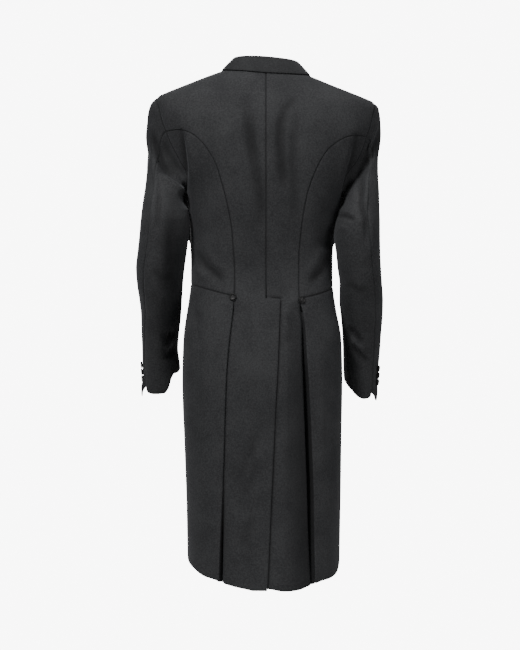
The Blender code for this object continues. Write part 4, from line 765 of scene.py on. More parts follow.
class SeamLines:
    """Border lines of one side, each made once, so that the pieces at a seam share its points."""

    def __init__(self, chart: CoatChart, side: Side) -> None:
        """Traces every seam of one side.

        Args:
            chart: the worn coat.
            side: which side.
        """
        self.chart, self.side, self.paths = chart, side, PATHS[side]
        mirror, paths = np.array((side.value, 1.0)), self.paths
        shoulder, underarm = np.array(SHOULDER) * mirror, np.array(UNDERARM) * mirror
        tip, neck = shoulder[0], shoulder[-1]
        princess = chart.drawn(paths.princess)
        self.princess = chart.trace(princess, PRINCESS_ROWS)
        self.cap = chart.trace(np.vstack([chart.drawn(paths.armhole_upper), tip]), CAP_ROWS)
        self.shoulder = chart.trace(shoulder, SHOULDER_ROWS)
        lower = np.vstack([chart.drawn(paths.armhole_lower), np.array(ARMPIT_BACK) * mirror, underarm[-1]])
        self.armhole_back = chart.trace(lower, SIDE_COLUMNS)
        front = chart.on_front(ARMHOLE_FRONT, side)
        self.armhole_front = chart.trace(np.vstack([underarm[-1], front, tip]), FRONT_ARM_ROWS)
        self.waist_side, self.waist_fore = self._waist(princess[0])
        self.underarm = chart.trace(np.vstack([self.waist_side[-1], underarm[1:]]), PRINCESS_ROWS)
        self.roll = chart.on_front(ROLL_LINE, side)
        rows = PRINCESS_ROWS + FRONT_ARM_ROWS + SHOULDER_ROWS
        edge = chart.trace(np.vstack([self.waist_fore[-1], self.roll]), EDGE_POINTS * rows)
        heights = smooth(*np.array(FRONT_ROWS).T, np.arange(rows + 1))
        self.front_edge = np.column_stack([np.interp(heights, edge[:, 1], edge[:, 0]), heights])
        self.front_edge[(0, -1),] = edge[(0, -1),]
        self.neckline = chart.trace(np.vstack([neck, NECK_FRONT * mirror, self.roll[-1]]), FORE_COLUMNS)
        across, down = np.array(paths.pleat).T
        downs = np.array([down[0], *TAIL_DOWNS[1:], down[-1]])
        self.pleat = chart.drawn(np.column_stack([smooth(down, across, downs), downs]))
        self.skirt_hem = chart.drawn(paths.skirt_hem)

    def _waist(self, start: Array) -> tuple[Array, Array]:
        """The waist seam, from the foot of the curved back seam forward.

        Args:
            start: turn and height of that foot.

        Returns:
            Turns and heights along the side body, and along the forepart.
        """
        sign, under = self.side.value, UNDERARM[0][0]
        turns, heights = np.vstack([start * (sign, 1.0), self.paths.waist_side]).T
        side_turns = np.linspace(turns[0], under, SIDE_COLUMNS + 1)
        fore_turns = np.linspace(under, turns[-1], FORE_COLUMNS + 1)
        side, fore = (
            np.column_stack([at * sign, smooth(turns, heights, at)]) for at in (side_turns, fore_turns)
        )
        return side, fore

    def under_rise(self, turn: Array, rows_up: Array, clear: float) -> Array:
        """How much higher the cloth under the pleat is cut, so that it stays above the skirt's hem.

        Args:
            turn: turns of the cloth.
            rows_up: coarse rows above the hem.
            clear: how far it stays above.

        Returns:
            The rise of each place.
        """
        hem = self.skirt_hem
        rise = np.interp(np.abs(turn), np.abs(hem[:, 0]), hem[:, 1]) - hem[0, 1] + clear
        return np.maximum(rise, 0.0) * ramp(rows_up, RISE_ROWS, 0.0)


@dataclass
class Cloth:
    """Points of one cloth piece.

    outer and inner are its faces and normals those of the plain form; hollow_and_painted_shade says how much
    shade is painted at each point for how hollow it lies, and cells which squares of the grid the piece has.
    """

    outer: Array
    inner: Array
    normals: Array
    hollow_and_painted_shade: Array | None = None
    cells: Array | None = None

    def __post_init__(self) -> None:
        """A piece starts without painted shade unless it is given."""
        if self.hollow_and_painted_shade is None:
            self.hollow_and_painted_shade = np.zeros(self.outer.shape[:2])

    def part(self, rows: slice, columns: slice = slice(None)) -> "Cloth":
        """Some rows and columns of the piece, which share its points."""
        return Cloth(*(face[rows, columns] for face in (self.outer, self.inner, self.normals, self.hollow_and_painted_shade)))

    def move(self, by: Array, where: tuple | int = ...) -> None:
        """Moves both faces there by this much."""
        for face in (self.outer, self.inner):
            face[where] += by

    def open_seams(self, *borders: Border) -> None:
        """Takes half of the seam's gap off these borders, square to each of them.

        Args:
            borders: which borders.
        """
        for border in borders:
            line = border.line(self.outer)
            across = unit(np.cross(border.line(self.normals), np.gradient(line, axis=0)))
            inward = (across * (border.line(self.outer, 1) - line)).sum(-1, keepdims=True).mean()
            gap = across * np.where(inward < 0, -1.0, 1.0) * HALF_SEAM
            for face in (self.outer, self.inner):
                border.line(face)[...] += gap

    def sink(self, lift: Array, shaded: Array) -> None:
        """Moves both faces along the normals, and paints shade by how deep that sinks the cloth."""
        self.move(self.normals * lift[..., None])
        self.paint_fold_shade(shaded)

    def paint_fold_shade(self, lift: Array) -> None:
        """Paints shade on the places that lie in a fold this far under the plain form."""
        np.maximum(self.hollow_and_painted_shade, FOLD_SHADE * np.clip(-lift / FOLD_FULL, 0.0, 1.0), out=self.hollow_and_painted_shade)

    def roll_edges(self, rounding: Rounding, *borders: Border) -> None:
        """Rounds the outer face down towards these borders, and paints shade along them as in a groove.

        Args:
            rounding: how they are rounded.
            borders: which borders.
        """
        dip, reach, shade = rounding.value
        for border in borders:
            line = np.expand_dims(border.line(self.outer), border.value[0])
            near = np.exp(-((np.linalg.norm(self.outer - line, axis=-1) / reach) ** 2))
            self.outer -= self.normals * (dip * near)[..., None]
            np.maximum(self.hollow_and_painted_shade, shade * near, out=self.hollow_and_painted_shade)

    def area(self) -> float:
        """How large the outer face is.

        Returns:
            Its area in square metres.
        """
        rows, columns = np.diff(self.outer, axis=0)[:, :-1], np.diff(self.outer, axis=1)[:-1]
        squares = np.linalg.norm(np.cross(rows, columns), axis=-1)
        return float((squares if self.cells is None else squares * self.cells).sum())


def shell_object(name: str, cloth: Cloth) -> bpy.types.Object:
    """A closed shell from a piece's points, with the cloth's grain as its UVs, in metres, and its painted
    shade as a point value.

    Args:
        name: name of the object.
        cloth: its points.

    Returns:
        The object.
    """
    outer, inner = cloth.outer, cloth.inner
    rows, columns = outer.shape[:2]
    cells = np.ones((rows - 1, columns - 1), bool) if cloth.cells is None else cloth.cells
    number = np.arange(rows * columns).reshape(rows, columns)
    a, b, c, d = number[:-1, :-1], number[:-1, 1:], number[1:, 1:], number[1:, :-1]
    under = [square + rows * columns for square in (a, d, c, b)]
    faces = [np.stack([a, b, c, d], -1)[cells], np.stack(under, -1)[cells]]
    padded = np.pad(cells, 1)
    edges = (
        (a, b, padded[:-2, 1:-1]),
        (b, c, padded[1:-1, 2:]),
        (c, d, padded[2:, 1:-1]),
        (d, a, padded[1:-1, :-2]),
    )
    for start, end, beside in edges:
        rim = cells & ~beside
        faces.append(np.stack([end, start, start + rows * columns, end + rows * columns], -1)[rim])
    faces = np.concatenate(faces)
    points = np.concatenate([outer.reshape(-1, 3), inner.reshape(-1, 3)])
    corners = points[faces[: cells.sum()]]
    facing = np.cross(corners[:, 2] - corners[:, 0], corners[:, 3] - corners[:, 1])
    if (facing * cloth.normals[:-1, :-1][cells]).sum() < 0:
        faces = faces[:, ::-1]
    grain, hollow_and_painted_shade = np.tile(grain_of(outer).reshape(-1, 2), (2, 1)), np.tile(cloth.hollow_and_painted_shade.ravel(), 2)
    return mesh_object(name, points, faces, grain, hollow_and_painted_shade)


def grain_of(face: Array) -> Array:
    """Lengths over the cloth, which the weave follows.

    Args:
        face: grid of points.

    Returns:
        For each point, how far it is along its row and up its column.
    """
    over = np.linalg.norm(np.diff(face, axis=1), axis=-1)
    up = np.linalg.norm(np.diff(face, axis=0), axis=-1)
    along = np.concatenate([np.zeros((len(face), 1)), np.cumsum(over, axis=1)], 1)
    rise = np.concatenate([[0.0], np.cumsum(up.mean(1))])[:, None] * np.ones(face.shape[1])
    return np.stack([along - along[:, -1:] / 2, rise], -1)


def mesh_object(
    name: str, points: Array, faces: Array, grain: Array | None = None, hollow_and_painted_shade: Array | None = None
) -> bpy.types.Object:
    """A smooth mesh object from points and faces of one corner count, without unused points.

    Args:
        name: name of the object.
        points: its points.
        faces: corner numbers of each face.
        grain: UVs of each point.
        hollow_and_painted_shade: how much shade is painted at each point, for how hollow the cloth lies
            there.

    Returns:
        The linked object.
    """
    used, packed = np.unique(faces, return_inverse=True)
    packed = packed.reshape(faces.shape)
    mesh = bpy.data.meshes.new(name)
    mesh.vertices.add(len(used))
    mesh.vertices.foreach_set("co", points[used].astype(np.float32).ravel())
    mesh.loops.add(packed.size)
    mesh.loops.foreach_set("vertex_index", packed.astype(np.int32).ravel())
    mesh.polygons.add(len(packed))
    mesh.polygons.foreach_set("loop_start", np.arange(len(packed), dtype=np.int32) * packed.shape[1])
    mesh.polygons.foreach_set("use_smooth", np.ones(len(packed), bool))
    mesh.update(calc_edges=True)
    if grain is not None:
        layer = mesh.uv_layers.new(name="grain")
        layer.data.foreach_set("uv", grain[used][packed.ravel()].astype(np.float32).ravel())
    if hollow_and_painted_shade is not None:
        layer = mesh.attributes.new("hollow_and_painted_shade", "FLOAT", "POINT")
        layer.data.foreach_set("value", hollow_and_painted_shade[used].astype(np.float32))
    mesh.validate()
    mesh.set_sharp_from_angle(angle=SHARP_ANGLE)
    made = bpy.data.objects.new(name, mesh)
    bpy.context.scene.collection.objects.link(made)
    return made


def lofted(rings: list[Array]) -> tuple[Array, Array]:
    """Joins closed rings of points into a tube.

    Args:
        rings: points of each ring, as many in each.

    Returns:
        All the points, and the corner numbers of the faces between them.
    """
    number = np.arange(len(rings) * len(rings[0])).reshape(len(rings), -1)
    beside = np.roll(number, -1, 1)
    faces = np.stack([number[:-1], beside[:-1], beside[1:], number[1:]], -1).reshape(-1, 4)
    return np.concatenate(rings), faces


class NodeBench:
    """A material whose nodes are added and linked one by one."""

    def __init__(self, name: str) -> None:
        """Starts a material with a plain Principled shader.

        Args:
            name: name of the material.
        """
        self.material = bpy.data.materials.new(name)
        self.material.use_nodes = True
        self.tree = self.material.node_tree
        self.shader = self.tree.nodes["Principled BSDF"]

    def feed(self, node: bpy.types.Node, inputs: dict[str | int, Feed]) -> None:
        """Gives a node its inputs.

        Args:
            node: the node.
            inputs: a value or the socket it comes from, by the input's name or place.
        """
        for name, value in inputs.items():
            if isinstance(value, bpy.types.NodeSocket):
                self.tree.links.new(value, node.inputs[name])
            else:
                node.inputs[name].default_value = value

    def add(self, kind: str, inputs: dict[str | int, Feed], **settings: str) -> bpy.types.Node:
        """Adds a node.

        Args:
            kind: the node's type, without its first word.
            inputs: its inputs, as for feed.
            settings: attributes of the node.

        Returns:
            The node.
        """
        node = self.tree.nodes.new(f"ShaderNode{kind}")
        for name, value in settings.items():
            setattr(node, name, value)
        self.feed(node, inputs)
        return node

    def noise(self, place: Feed, grade: Triple) -> Feed:
        """Noise of this size, detail and roughness."""
        inputs = {"Vector": place, "Scale": 1 / grade[0], "Detail": grade[1], "Roughness": grade[2]}
        return self.add("TexNoise", inputs).outputs["Fac"]

    def mix(self, kind: Mixed, *sources: Feed) -> Feed:
        """Mixes two numbers or colours; the sources are the share of the second one, and the two."""
        node = self.add("Mix", dict(zip(kind.value, sources)), data_type=kind.name)
        return node.outputs[kind.value[-1]]

    def tones(self, source: Feed, places: Pair, dark: Triple, light: Triple) -> Feed:
        """A ramp of colour.

        Args:
            source: what it follows.
            places: where the dark and the light colour stand.
            dark: the dark colour.
            light: the light colour.

        Returns:
            The socket of the colour.
        """
        node = self.add("ValToRGB", {"Fac": source})
        for element, place, colour in zip(node.color_ramp.elements, places, (dark, light)):
            element.position, element.color = place, (*colour, 1.0)
        return node.outputs["Color"]

    def bump(self, source: Feed, depth: float, strength: float, under: Feed | None = None) -> Feed:
        """Adds a fine relief.

        Args:
            source: what it follows.
            depth: how deep it is, in metres.
            strength: its share, 0 to 1.
            under: a coarser relief below it.

        Returns:
            The socket of its normals.
        """
        over = {} if under is None else {"Normal": under}
        inputs = {"Height": source, "Distance": depth, "Strength": strength, **over}
        return self.add("Bump", inputs).outputs["Normal"]


@dataclass(frozen=True)
class WoolFinish:
    """Black worsted: a fine twill with a low nap, lighter and darker by a little from place to place.

    mottle, cloud and nap are noises by size, detail and roughness. painted_dark is painted shade: the colour
    the wool is mixed towards where the cloth lies in folds, seams and hems.
    """

    dark: Triple = (0.0165, 0.0169, 0.0184)
    light: Triple = (0.0350, 0.0356, 0.0372)
    fleck: Triple = (0.085, 0.086, 0.088)
    # the painted shade colour for folds, seams and edges
    painted_dark: Triple = (0.0035, 0.0036, 0.0040)
    sheen_tint: Triple = (0.55, 0.56, 0.60)
    roughness: float = 0.78
    specular: float = 0.22
    sheen: float = 0.12
    sheen_roughness: float = 0.45
    mottle: Triple = (0.0030, 3.0, 0.6)
    cloud: Triple = (0.055, 2.0, 0.5)
    nap: Triple = (0.0011, 2.0, 0.55)
    cloud_share: float = 0.30
    tone_places: Pair = (0.38, 0.62)
    fleck_places: Pair = (0.72, 0.95)
    fleck_share: float = 0.55
    twill_pitch: float = 0.0011
    twill_angle: float = math.radians(63)
    twill_wander: float = 1.2
    twill_detail: float = 1.0
    twill_detail_scale: float = 0.6
    twill_depth: float = 0.00006
    nap_depth: float = 0.00012
    relief: float = 0.8

    def make(self) -> bpy.types.Material:
        """Builds the material.

        Returns:
            The wool.
        """
        bench = NodeBench("wool_cloth")
        place = bench.add("TexCoord", {}).outputs["Object"]
        mottle, cloud, nap = (bench.noise(place, grade) for grade in (self.mottle, self.cloud, self.nap))
        both = bench.mix(Mixed.FLOAT, self.cloud_share, mottle, cloud)
        tone = bench.tones(both, self.tone_places, self.dark, self.light)
        low, high = self.fleck_places
        graded_nap = {"Value": nap, "From Min": low, "From Max": high, "To Max": self.fleck_share}
        share = bench.add("MapRange", graded_nap).outputs["Result"]
        flecked = bench.mix(Mixed.RGBA, share, tone, (*self.fleck, 1.0))
        # painted shade: the colour turns towards painted_dark by the mesh's hollow_and_painted_shade value,
        # darkening folds, seams and edges where shade falls
        hollow_and_painted_shade = bench.add("Attribute", {}, attribute_name="hollow_and_painted_shade").outputs["Fac"]
        colour = bench.mix(Mixed.RGBA, hollow_and_painted_shade, flecked, (*self.painted_dark, 1.0))
        grain = bench.add("UVMap", {}, uv_map="grain").outputs["UV"]
        turned = bench.add("Mapping", {"Vector": grain, "Rotation": (0.0, 0.0, self.twill_angle)})
        wave = {
            "Vector": turned.outputs["Vector"], "Scale": math.tau / WAVE_UNITS / self.twill_pitch,
            "Distortion": self.twill_wander, "Detail": self.twill_detail,
            "Detail Scale": self.twill_detail_scale,
        }
        twill = bench.add("TexWave", wave, wave_profile="SIN").outputs["Fac"]
        weave = bench.bump(twill, self.twill_depth, self.relief)
        soft = bench.bump(nap, self.nap_depth, self.relief, weave)
        bench.feed(bench.shader, {
            "Base Color": colour, "Normal": soft, "Roughness": self.roughness,
            "Specular IOR Level": self.specular, "Sheen Weight": self.sheen,
            "Sheen Roughness": self.sheen_roughness, "Sheen Tint": (*self.sheen_tint, 1.0),
        })
        return bench.material


@dataclass(frozen=True)
class HornFinish:
    """Dark polished horn with faint streaks, which are a noise by size, detail and roughness."""

    dark: Triple = (0.003, 0.003, 0.0035)
    streak: Triple = (0.010, 0.009, 0.008)
    roughness: float = 0.46
    specular: float = 0.25
    streaks: Triple = (0.004, 4.0, 0.5)
    stretch: Triple = (1.0, 1.0, 3.0)
    tone_places: Pair = (0.45, 0.75)

    def make(self) -> bpy.types.Material:
        """Builds the material.

        Returns:
            The horn.
        """
        bench = NodeBench("horn")
        place = bench.add("TexCoord", {}).outputs["Object"]
        stretched = bench.add("Mapping", {"Vector": place, "Scale": self.stretch}).outputs["Vector"]
        tone = bench.tones(bench.noise(stretched, self.streaks), self.tone_places, self.dark, self.streak)
        inputs = {"Base Color": tone, "Roughness": self.roughness, "Specular IOR Level": self.specular}
        bench.feed(bench.shader, inputs)
        return bench.material


@dataclass(frozen=True)
class ThreadFinish:
    """Black silk thread, whose twist is a noise by size, detail and roughness."""

    colour: Triple = (0.016, 0.016, 0.018)
    roughness: float = 0.42
    twist: Triple = (0.0006, 2.0, 0.5)
    twist_depth: float = 0.0001
    relief: float = 0.5

    def make(self) -> bpy.types.Material:
        """Builds the material.

        Returns:
            The thread.
        """
        bench = NodeBench("thread")
        twist = bench.noise(bench.add("TexCoord", {}).outputs["Object"], self.twist)
        bump = bench.bump(twist, self.twist_depth, self.relief)
        inputs = {"Base Color": (*self.colour, 1.0), "Roughness": self.roughness, "Normal": bump}
        bench.feed(bench.shader, inputs)
        return bench.material


@dataclass(frozen=True)
class Finishes:
    """The materials of the coat."""

    wool: bpy.types.Material
    horn: bpy.types.Material
    thread: bpy.types.Material


@dataclass(frozen=True)
class Cut:
    """Flat cut of a cloth piece: width, length and area, in metres."""

    width: float
    length: float
    area: float


@dataclass
class Panel:
    """What every cloth piece shares: the chart, the seams of its side and its wool."""

    chart: CoatChart
    seams: SeamLines
    finishes: Finishes

    @property
    def side(self) -> Side:
        """The side of the coat that this piece is on."""
        return self.seams.side

    def laid(self, grid: Array, lift: Array | float) -> Cloth:
        """Lays the cloth on the worn coat.

        Args:
            grid: turns and heights of its points.
            lift: how far its outer face is above the form.

        Returns:
            The cloth.
        """
        turn, height = grid[..., 0], grid[..., 1]
        lift = np.broadcast_to(lift, turn.shape)
        outer, inner = self.chart.point(turn, height, lift), self.chart.point(turn, height, lift - WALL)
        cloth = Cloth(outer, inner, self.chart.look(turn, height)[1])
        # painted shade in the folds of the back and the fronts
        cloth.paint_fold_shade(self.chart.folds(turn, self.chart.placed(turn, height)[0], painted_dark))
        return cloth

    def hang(self, node: str, cloth: Cloth, cut: Cut, held: str = "hung") -> None:
        """Makes the object of a cloth piece, sets it in the place of its solid and reports it.

        Args:
            node: name of the solid.
            cloth: points of the piece.
            cut: its flat cut.
            held: how it hangs; not used.
        """
        made = shell_object(f"{node}_cloth", cloth)
        made.data.materials.append(self.finishes.wool)
        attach(made, "root")
        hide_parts(node)
        log.info("%s: area %.4f, cut %.4f", node, cloth.area(), cut.area)


def fine(grid: Array, row_places: Array, row_breaks: tuple[int, ...], column_places: Array) -> Array:
    """A coarse grid read at fine places, with corners allowed at some of its rows."""
    rows = read_broken(grid, row_places, row_breaks)
    return read_broken(rows.swapaxes(0, 1), column_places, ()).swapaxes(0, 1)


@dataclass
class Back(Panel):
    """One back in one length, with its lap at the vent and the cloth that goes under the side pleat.

    Distances are over the cloth, and those in pairs say where something starts and where it is full, from the
    pleat's edge or from the vent's. What is counted in rows is in coarse rows from the waist.
    """

    cut: Cut = Cut(0.250, 1.130, 0.1550)
    lap_steps: int = 8
    under_steps: int = 9
    under_reach: float = 0.034
    under_rise_reach: float = 0.016
    under_clear: float = 0.0055
    pull_in: float = 0.0007
    pleat_rows: float = 2.0
    pleat_slope: Pair = (0.060, 0.014)
    open_wall: Pair = (-0.0045, -0.0005)
    slope_wall: Pair = (-0.016, -0.004)
    # share of the slope towards the pleat that is painted as shade
    slope_shade: float = 0.60
    hook_rows: float = 2.0
    vent_slope: Pair = (0.034, 0.006)
    # painted shadow of the vent's edge on the right tail: strength, reach and rows
    vent_shade: float = 0.85
    vent_shade_reach: float = 0.0042
    vent_shade_rows: float = 0.3

    def inner_line(self) -> Array:
        """The tail's line nearest the centre, from the waist to the hem.

        Returns:
            Turn and height of each row.
        """
        across, down = np.array(VENT_EDGE).T
        hem_across, hem_down = self.seams.paths.tail_hem[0]
        downs = np.array((*TAIL_DOWNS, hem_down))
        if self.side is Side.LEFT:
            line = np.interp(downs, down, across) - VENT_LAP_UNITS
        else:
            line = CENTRE_ACROSS + (hem_across - CENTRE_ACROSS) * (downs - VENT_TOP) / (hem_down - VENT_TOP)
        return self.chart.drawn(np.column_stack([line, downs]))

    def coarse(self) -> Array:
        """The coarse grid, from the hem to the neck.

        Returns:
            Turn and height of its points.
        """
        seams, chart = self.seams, self.chart
        downs = smooth(*np.array(CENTRE_ROWS).T, np.arange(PRINCESS_ROWS + CAP_ROWS + SHOULDER_ROWS + 1))
        centre_up = chart.drawn(np.column_stack([np.full(len(downs), CENTRE_ACROSS), downs]))
        outer_up = np.concatenate([seams.princess, seams.cap[1:], seams.shoulder[1:]])
        top = np.linspace(centre_up[-1], outer_up[-1], BACK_COLUMNS + 1)
        middle = np.linspace(centre_up[0], outer_up[0], BACK_COLUMNS + 1)
        above = patch(middle, top, centre_up, outer_up)
        hem = chart.trace(chart.drawn(seams.paths.tail_hem), BACK_COLUMNS)
        inner = self.inner_line()
        inner[0] = centre_up[0]
        below = patch(middle, hem, inner, np.concatenate([seams.pleat[:-1], hem[-1:]]))
        return np.concatenate([below[::-1], above[1:]])

    def build(self) -> None:
        """Makes the piece."""
        grid = self.coarse()
        last = len(grid) - 1
        tail, body = np.arange(0, TAIL_ROWS, 1 / TAIL_SPLIT), np.arange(TAIL_ROWS, last, 1 / ROW_SPLIT)
        rows = np.concatenate([tail, body, [last]])
        cap = TAIL_ROWS + PRINCESS_ROWS
        main = fine(grid, rows, (TAIL_ROWS, cap, cap + CAP_ROWS), graded(BACK_COLUMNS, COLUMN_SPLIT))
        full = np.concatenate([self._lap(main), main, self._under(main, rows)], 1)
        waist, start = (int(np.searchsorted(rows, row)) for row in (TAIL_ROWS, TAIL_ROWS - self.pleat_rows))
        cloth = self.laid(full, self._lift(full, rows))
        cloth.cells = np.ones((len(rows) - 1, full.shape[1] - 1), bool)
        cloth.cells[waist:, : self.lap_steps] = False
        cloth.cells[start:, -self.under_steps :] = False
        # painted shadow: the right tail is darkened beside the vent's edge, where the left tail's edge shades
        # it
        if self.side is Side.RIGHT:
            near = self.vent_shade * np.exp(-((self._past_vent(full) / self.vent_shade_reach) ** 2))
            below = ramp(rows, TAIL_ROWS, TAIL_ROWS - self.vent_shade_rows)[:, None]
            np.maximum(cloth.hollow_and_painted_shade, near * below, out=cloth.hollow_and_painted_shade)
        # the sink beside the pleat is also painted as shade, the slope by slope_shade of its depth
        hollow_and_painted_shade, slope = self._opened(full, seen(cloth.outer)[1])
        below = self._below(rows)
        cloth.sink((hollow_and_painted_shade + slope) * below, (hollow_and_painted_shade + slope * self.slope_shade) * below)
        edge = full.shape[1] - self.under_steps
        upper = cloth.part(slice(waist, None), slice(self.lap_steps, edge))
        upper.open_seams(Border.FIRST, Border.LAST)
        upper.roll_edges(Rounding.SEAM, Border.FIRST, Border.LAST)
        inward = unit(cloth.outer[start:waist, edge - 2] - cloth.outer[start:waist, edge - 1]) * self.pull_in
        cloth.move(inward, (slice(start, waist), edge - 1))
        cloth.part(slice(waist)).roll_edges(Rounding.EDGE, Border.FIRST, Border.LAST, Border.BOTTOM)
        self.hang(f"back_{self.side.label}", cloth, self.cut)

    def _lap(self, main: Array) -> Array:
        """The lap beyond the vent.

        Args:
            main: turns and heights of the rest of the piece.

        Returns:
            Turns and heights of its columns, from its edge inward.
        """
        turn, height = main[:, 0].T
        lap = (VENT_LAP_UNITS if self.side is Side.LEFT else UNDERLAP_UNITS) * UNIT * -self.side.value
        parts = np.arange(self.lap_steps, 0, -1) / self.lap_steps
        turns = [self.chart.step(turn, height, lap * part) for part in parts]
        return np.stack([np.stack([at, height], -1) for at in turns], 1)

    def _under(self, main: Array, rows: Array) -> Array:
        """The cloth that goes under the side pleat.

        Args:
            main: turns and heights of the rest of the piece.
            rows: coarse row of each fine row, from the hem.

        Returns:
            Turns and heights of its columns, from the pleat's edge on.
        """
        turn, height = main[:, -1].T
        columns = []
        for reach in np.linspace(0, self.under_reach, self.under_steps + 1)[1:]:
            beyond = self.side.value * self.chart.step(np.abs(turn), height, reach)
            rise = self.seams.under_rise(beyond, rows, self.under_clear)
            columns.append(np.stack([beyond, height + rise * ramp(reach, 0, self.under_rise_reach)], -1))
        return np.stack(columns, 1)

    def _below(self, rows: Array) -> Array:
        """0 at the waist and 1 from a little below it."""
        return ramp(rows, TAIL_ROWS, TAIL_ROWS - self.pleat_rows)[:, None]

    def _opened(self, grid: Array, down: Array) -> tuple[Array, Array]:
        """How deep the back sinks beside the pleat where the pleat stands open, minus.

        Args:
            grid: turns and heights.
            down: how low each place is as drawn.

        Returns:
            The move of each place in the hollow at the edge, and on the soft slope towards it.
        """
        rows, narrow, deep, wide, slope = np.array(PLEAT_OPEN[self.side]).T
        off = self._to_pleat(grid)
        beside = ramp(off, smooth(rows, narrow, down), 0.0) * ramp(off, *self.open_wall)
        away = ramp(off, smooth(rows, wide, down), 0.0)
        sloped = smooth(rows, slope, down) * away * ramp(off, *self.slope_wall)
        return -smooth(rows, deep, down) * beside, -sloped

    def _to_pleat(self, grid: Array) -> Array:
        """Distance from each place to the pleat's edge, over the cloth."""
        turn = np.interp(-grid[..., 1], -self.seams.pleat[:, 1], np.abs(self.seams.pleat[:, 0]))
        return (turn - grid[..., 0] * self.side.value) * 2 * self._quarter(grid)

    def _past_vent(self, grid: Array) -> Array:
        """Distance of each place from the vent's edge, over the cloth, to the wearer's right."""
        across, height = self.chart.drawn(VENT_EDGE).T
        return (grid[..., 0] - np.interp(-grid[..., 1], -height, across)) * 2 * self._quarter(grid)

    def _quarter(self, grid: Array) -> Array:
        """Length of the back quarter at each place."""
        return np.interp(grid[..., 1], self.chart.heights, self.chart.lengths[:, 0])

    def _lift(self, grid: Array, rows: Array) -> Array:
        """How far each place lies under the form, by the pleat and the vent.

        Args:
            grid: turns and heights.
            rows: coarse row of each fine row, from the hem.

        Returns:
            The lift of each place.
        """
        lift = -PLEAT_RECESS * ramp(self._to_pleat(grid), *self.pleat_slope) * self._below(rows)
        if self.side is Side.RIGHT:
            hook = ramp(rows, TAIL_ROWS + self.hook_rows, TAIL_ROWS)[:, None]
            lift = np.minimum(lift, -VENT_RECESS * ramp(self._past_vent(grid), *self.vent_slope) * hook)
        return lift


@dataclass
class SideBody(Panel):
    """The panel between the curved back seam and the underarm seam."""

    cut: Cut = Cut(0.150, 0.400, 0.0425)

    def build(self) -> None:
        """Makes the piece."""
        seams = self.seams
        coarse = patch(seams.waist_side, seams.armhole_back, seams.princess, seams.underarm)
        grid = fine(coarse, graded(PRINCESS_ROWS, ROW_SPLIT), (), graded(SIDE_COLUMNS, COLUMN_SPLIT))
        cloth = self.laid(grid, 0.0)
        cloth.open_seams(Border.BOTTOM, Border.FIRST, Border.LAST)
        cloth.roll_edges(Rounding.SEAM, *Border)
        self.hang(f"sidebody_{self.side.label}", cloth, self.cut)


@dataclass
class Forepart(Panel):
    """One front, down to the waist seam."""

    cut: Cut = Cut(0.200, 0.520, 0.0785)

    def build(self) -> None:
        """Makes the piece."""
        seams = self.seams
        outer = np.concatenate([seams.underarm, seams.armhole_front[1:], seams.shoulder[1:]])
        coarse = patch(seams.waist_fore, seams.neckline, outer, seams.front_edge)
        arm = PRINCESS_ROWS + FRONT_ARM_ROWS
        rows = graded(len(coarse) - 1, ROW_SPLIT)
        grid = fine(coarse, rows, (PRINCESS_ROWS, arm), graded(FORE_COLUMNS, COLUMN_SPLIT))
        cloth = self.laid(grid, fore_lift(self.side, grid[..., 0]))
        cloth.part(slice(int(np.searchsorted(rows, PRINCESS_ROWS)) + 1)).open_seams(Border.FIRST)
        cloth.part(slice(int(np.searchsorted(rows, arm)), None)).open_seams(Border.FIRST)
        cloth.open_seams(Border.BOTTOM)
        cloth.roll_edges(Rounding.SEAM, Border.FIRST, Border.BOTTOM)
        cloth.roll_edges(Rounding.EDGE, Border.LAST, Border.TOP)
        self.hang(f"forepart_{self.side.label}", cloth, self.cut)


def fore_lift(side: Side, turn: Array) -> Array:
    """The right front goes under the left one where they button."""
    return -VENT_RECESS * ramp(np.abs(turn), *BUTTONED) if side is Side.RIGHT else np.zeros_like(turn)


def fold_profile(reach: Row, steps: int) -> tuple[Array, Array]:
    """A turned edge seen end on.

    Args:
        reach: distances of the turned part's columns.
        steps: how many steps the bend has.

    Returns:
        Distance into the piece and lift of the outer and the inner points, from inside to the bend's top.
    """
    inner_radius = FOLD_GAP / 2
    outer_radius = WALL + inner_radius
    angles = np.radians(np.linspace(90, 270, steps + 1))
    faces = []
    for radius, lift in ((outer_radius, -2 * outer_radius), (inner_radius, -outer_radius - inner_radius)):
        in_way, up_way = outer_radius + radius * np.cos(angles), radius * np.sin(angles) - outer_radius
        turned = np.column_stack([reach, np.full(len(reach), lift)])
        faces.append(np.concatenate([np.column_stack([in_way, up_way]), turned])[::-1])
    return faces[0], faces[1]


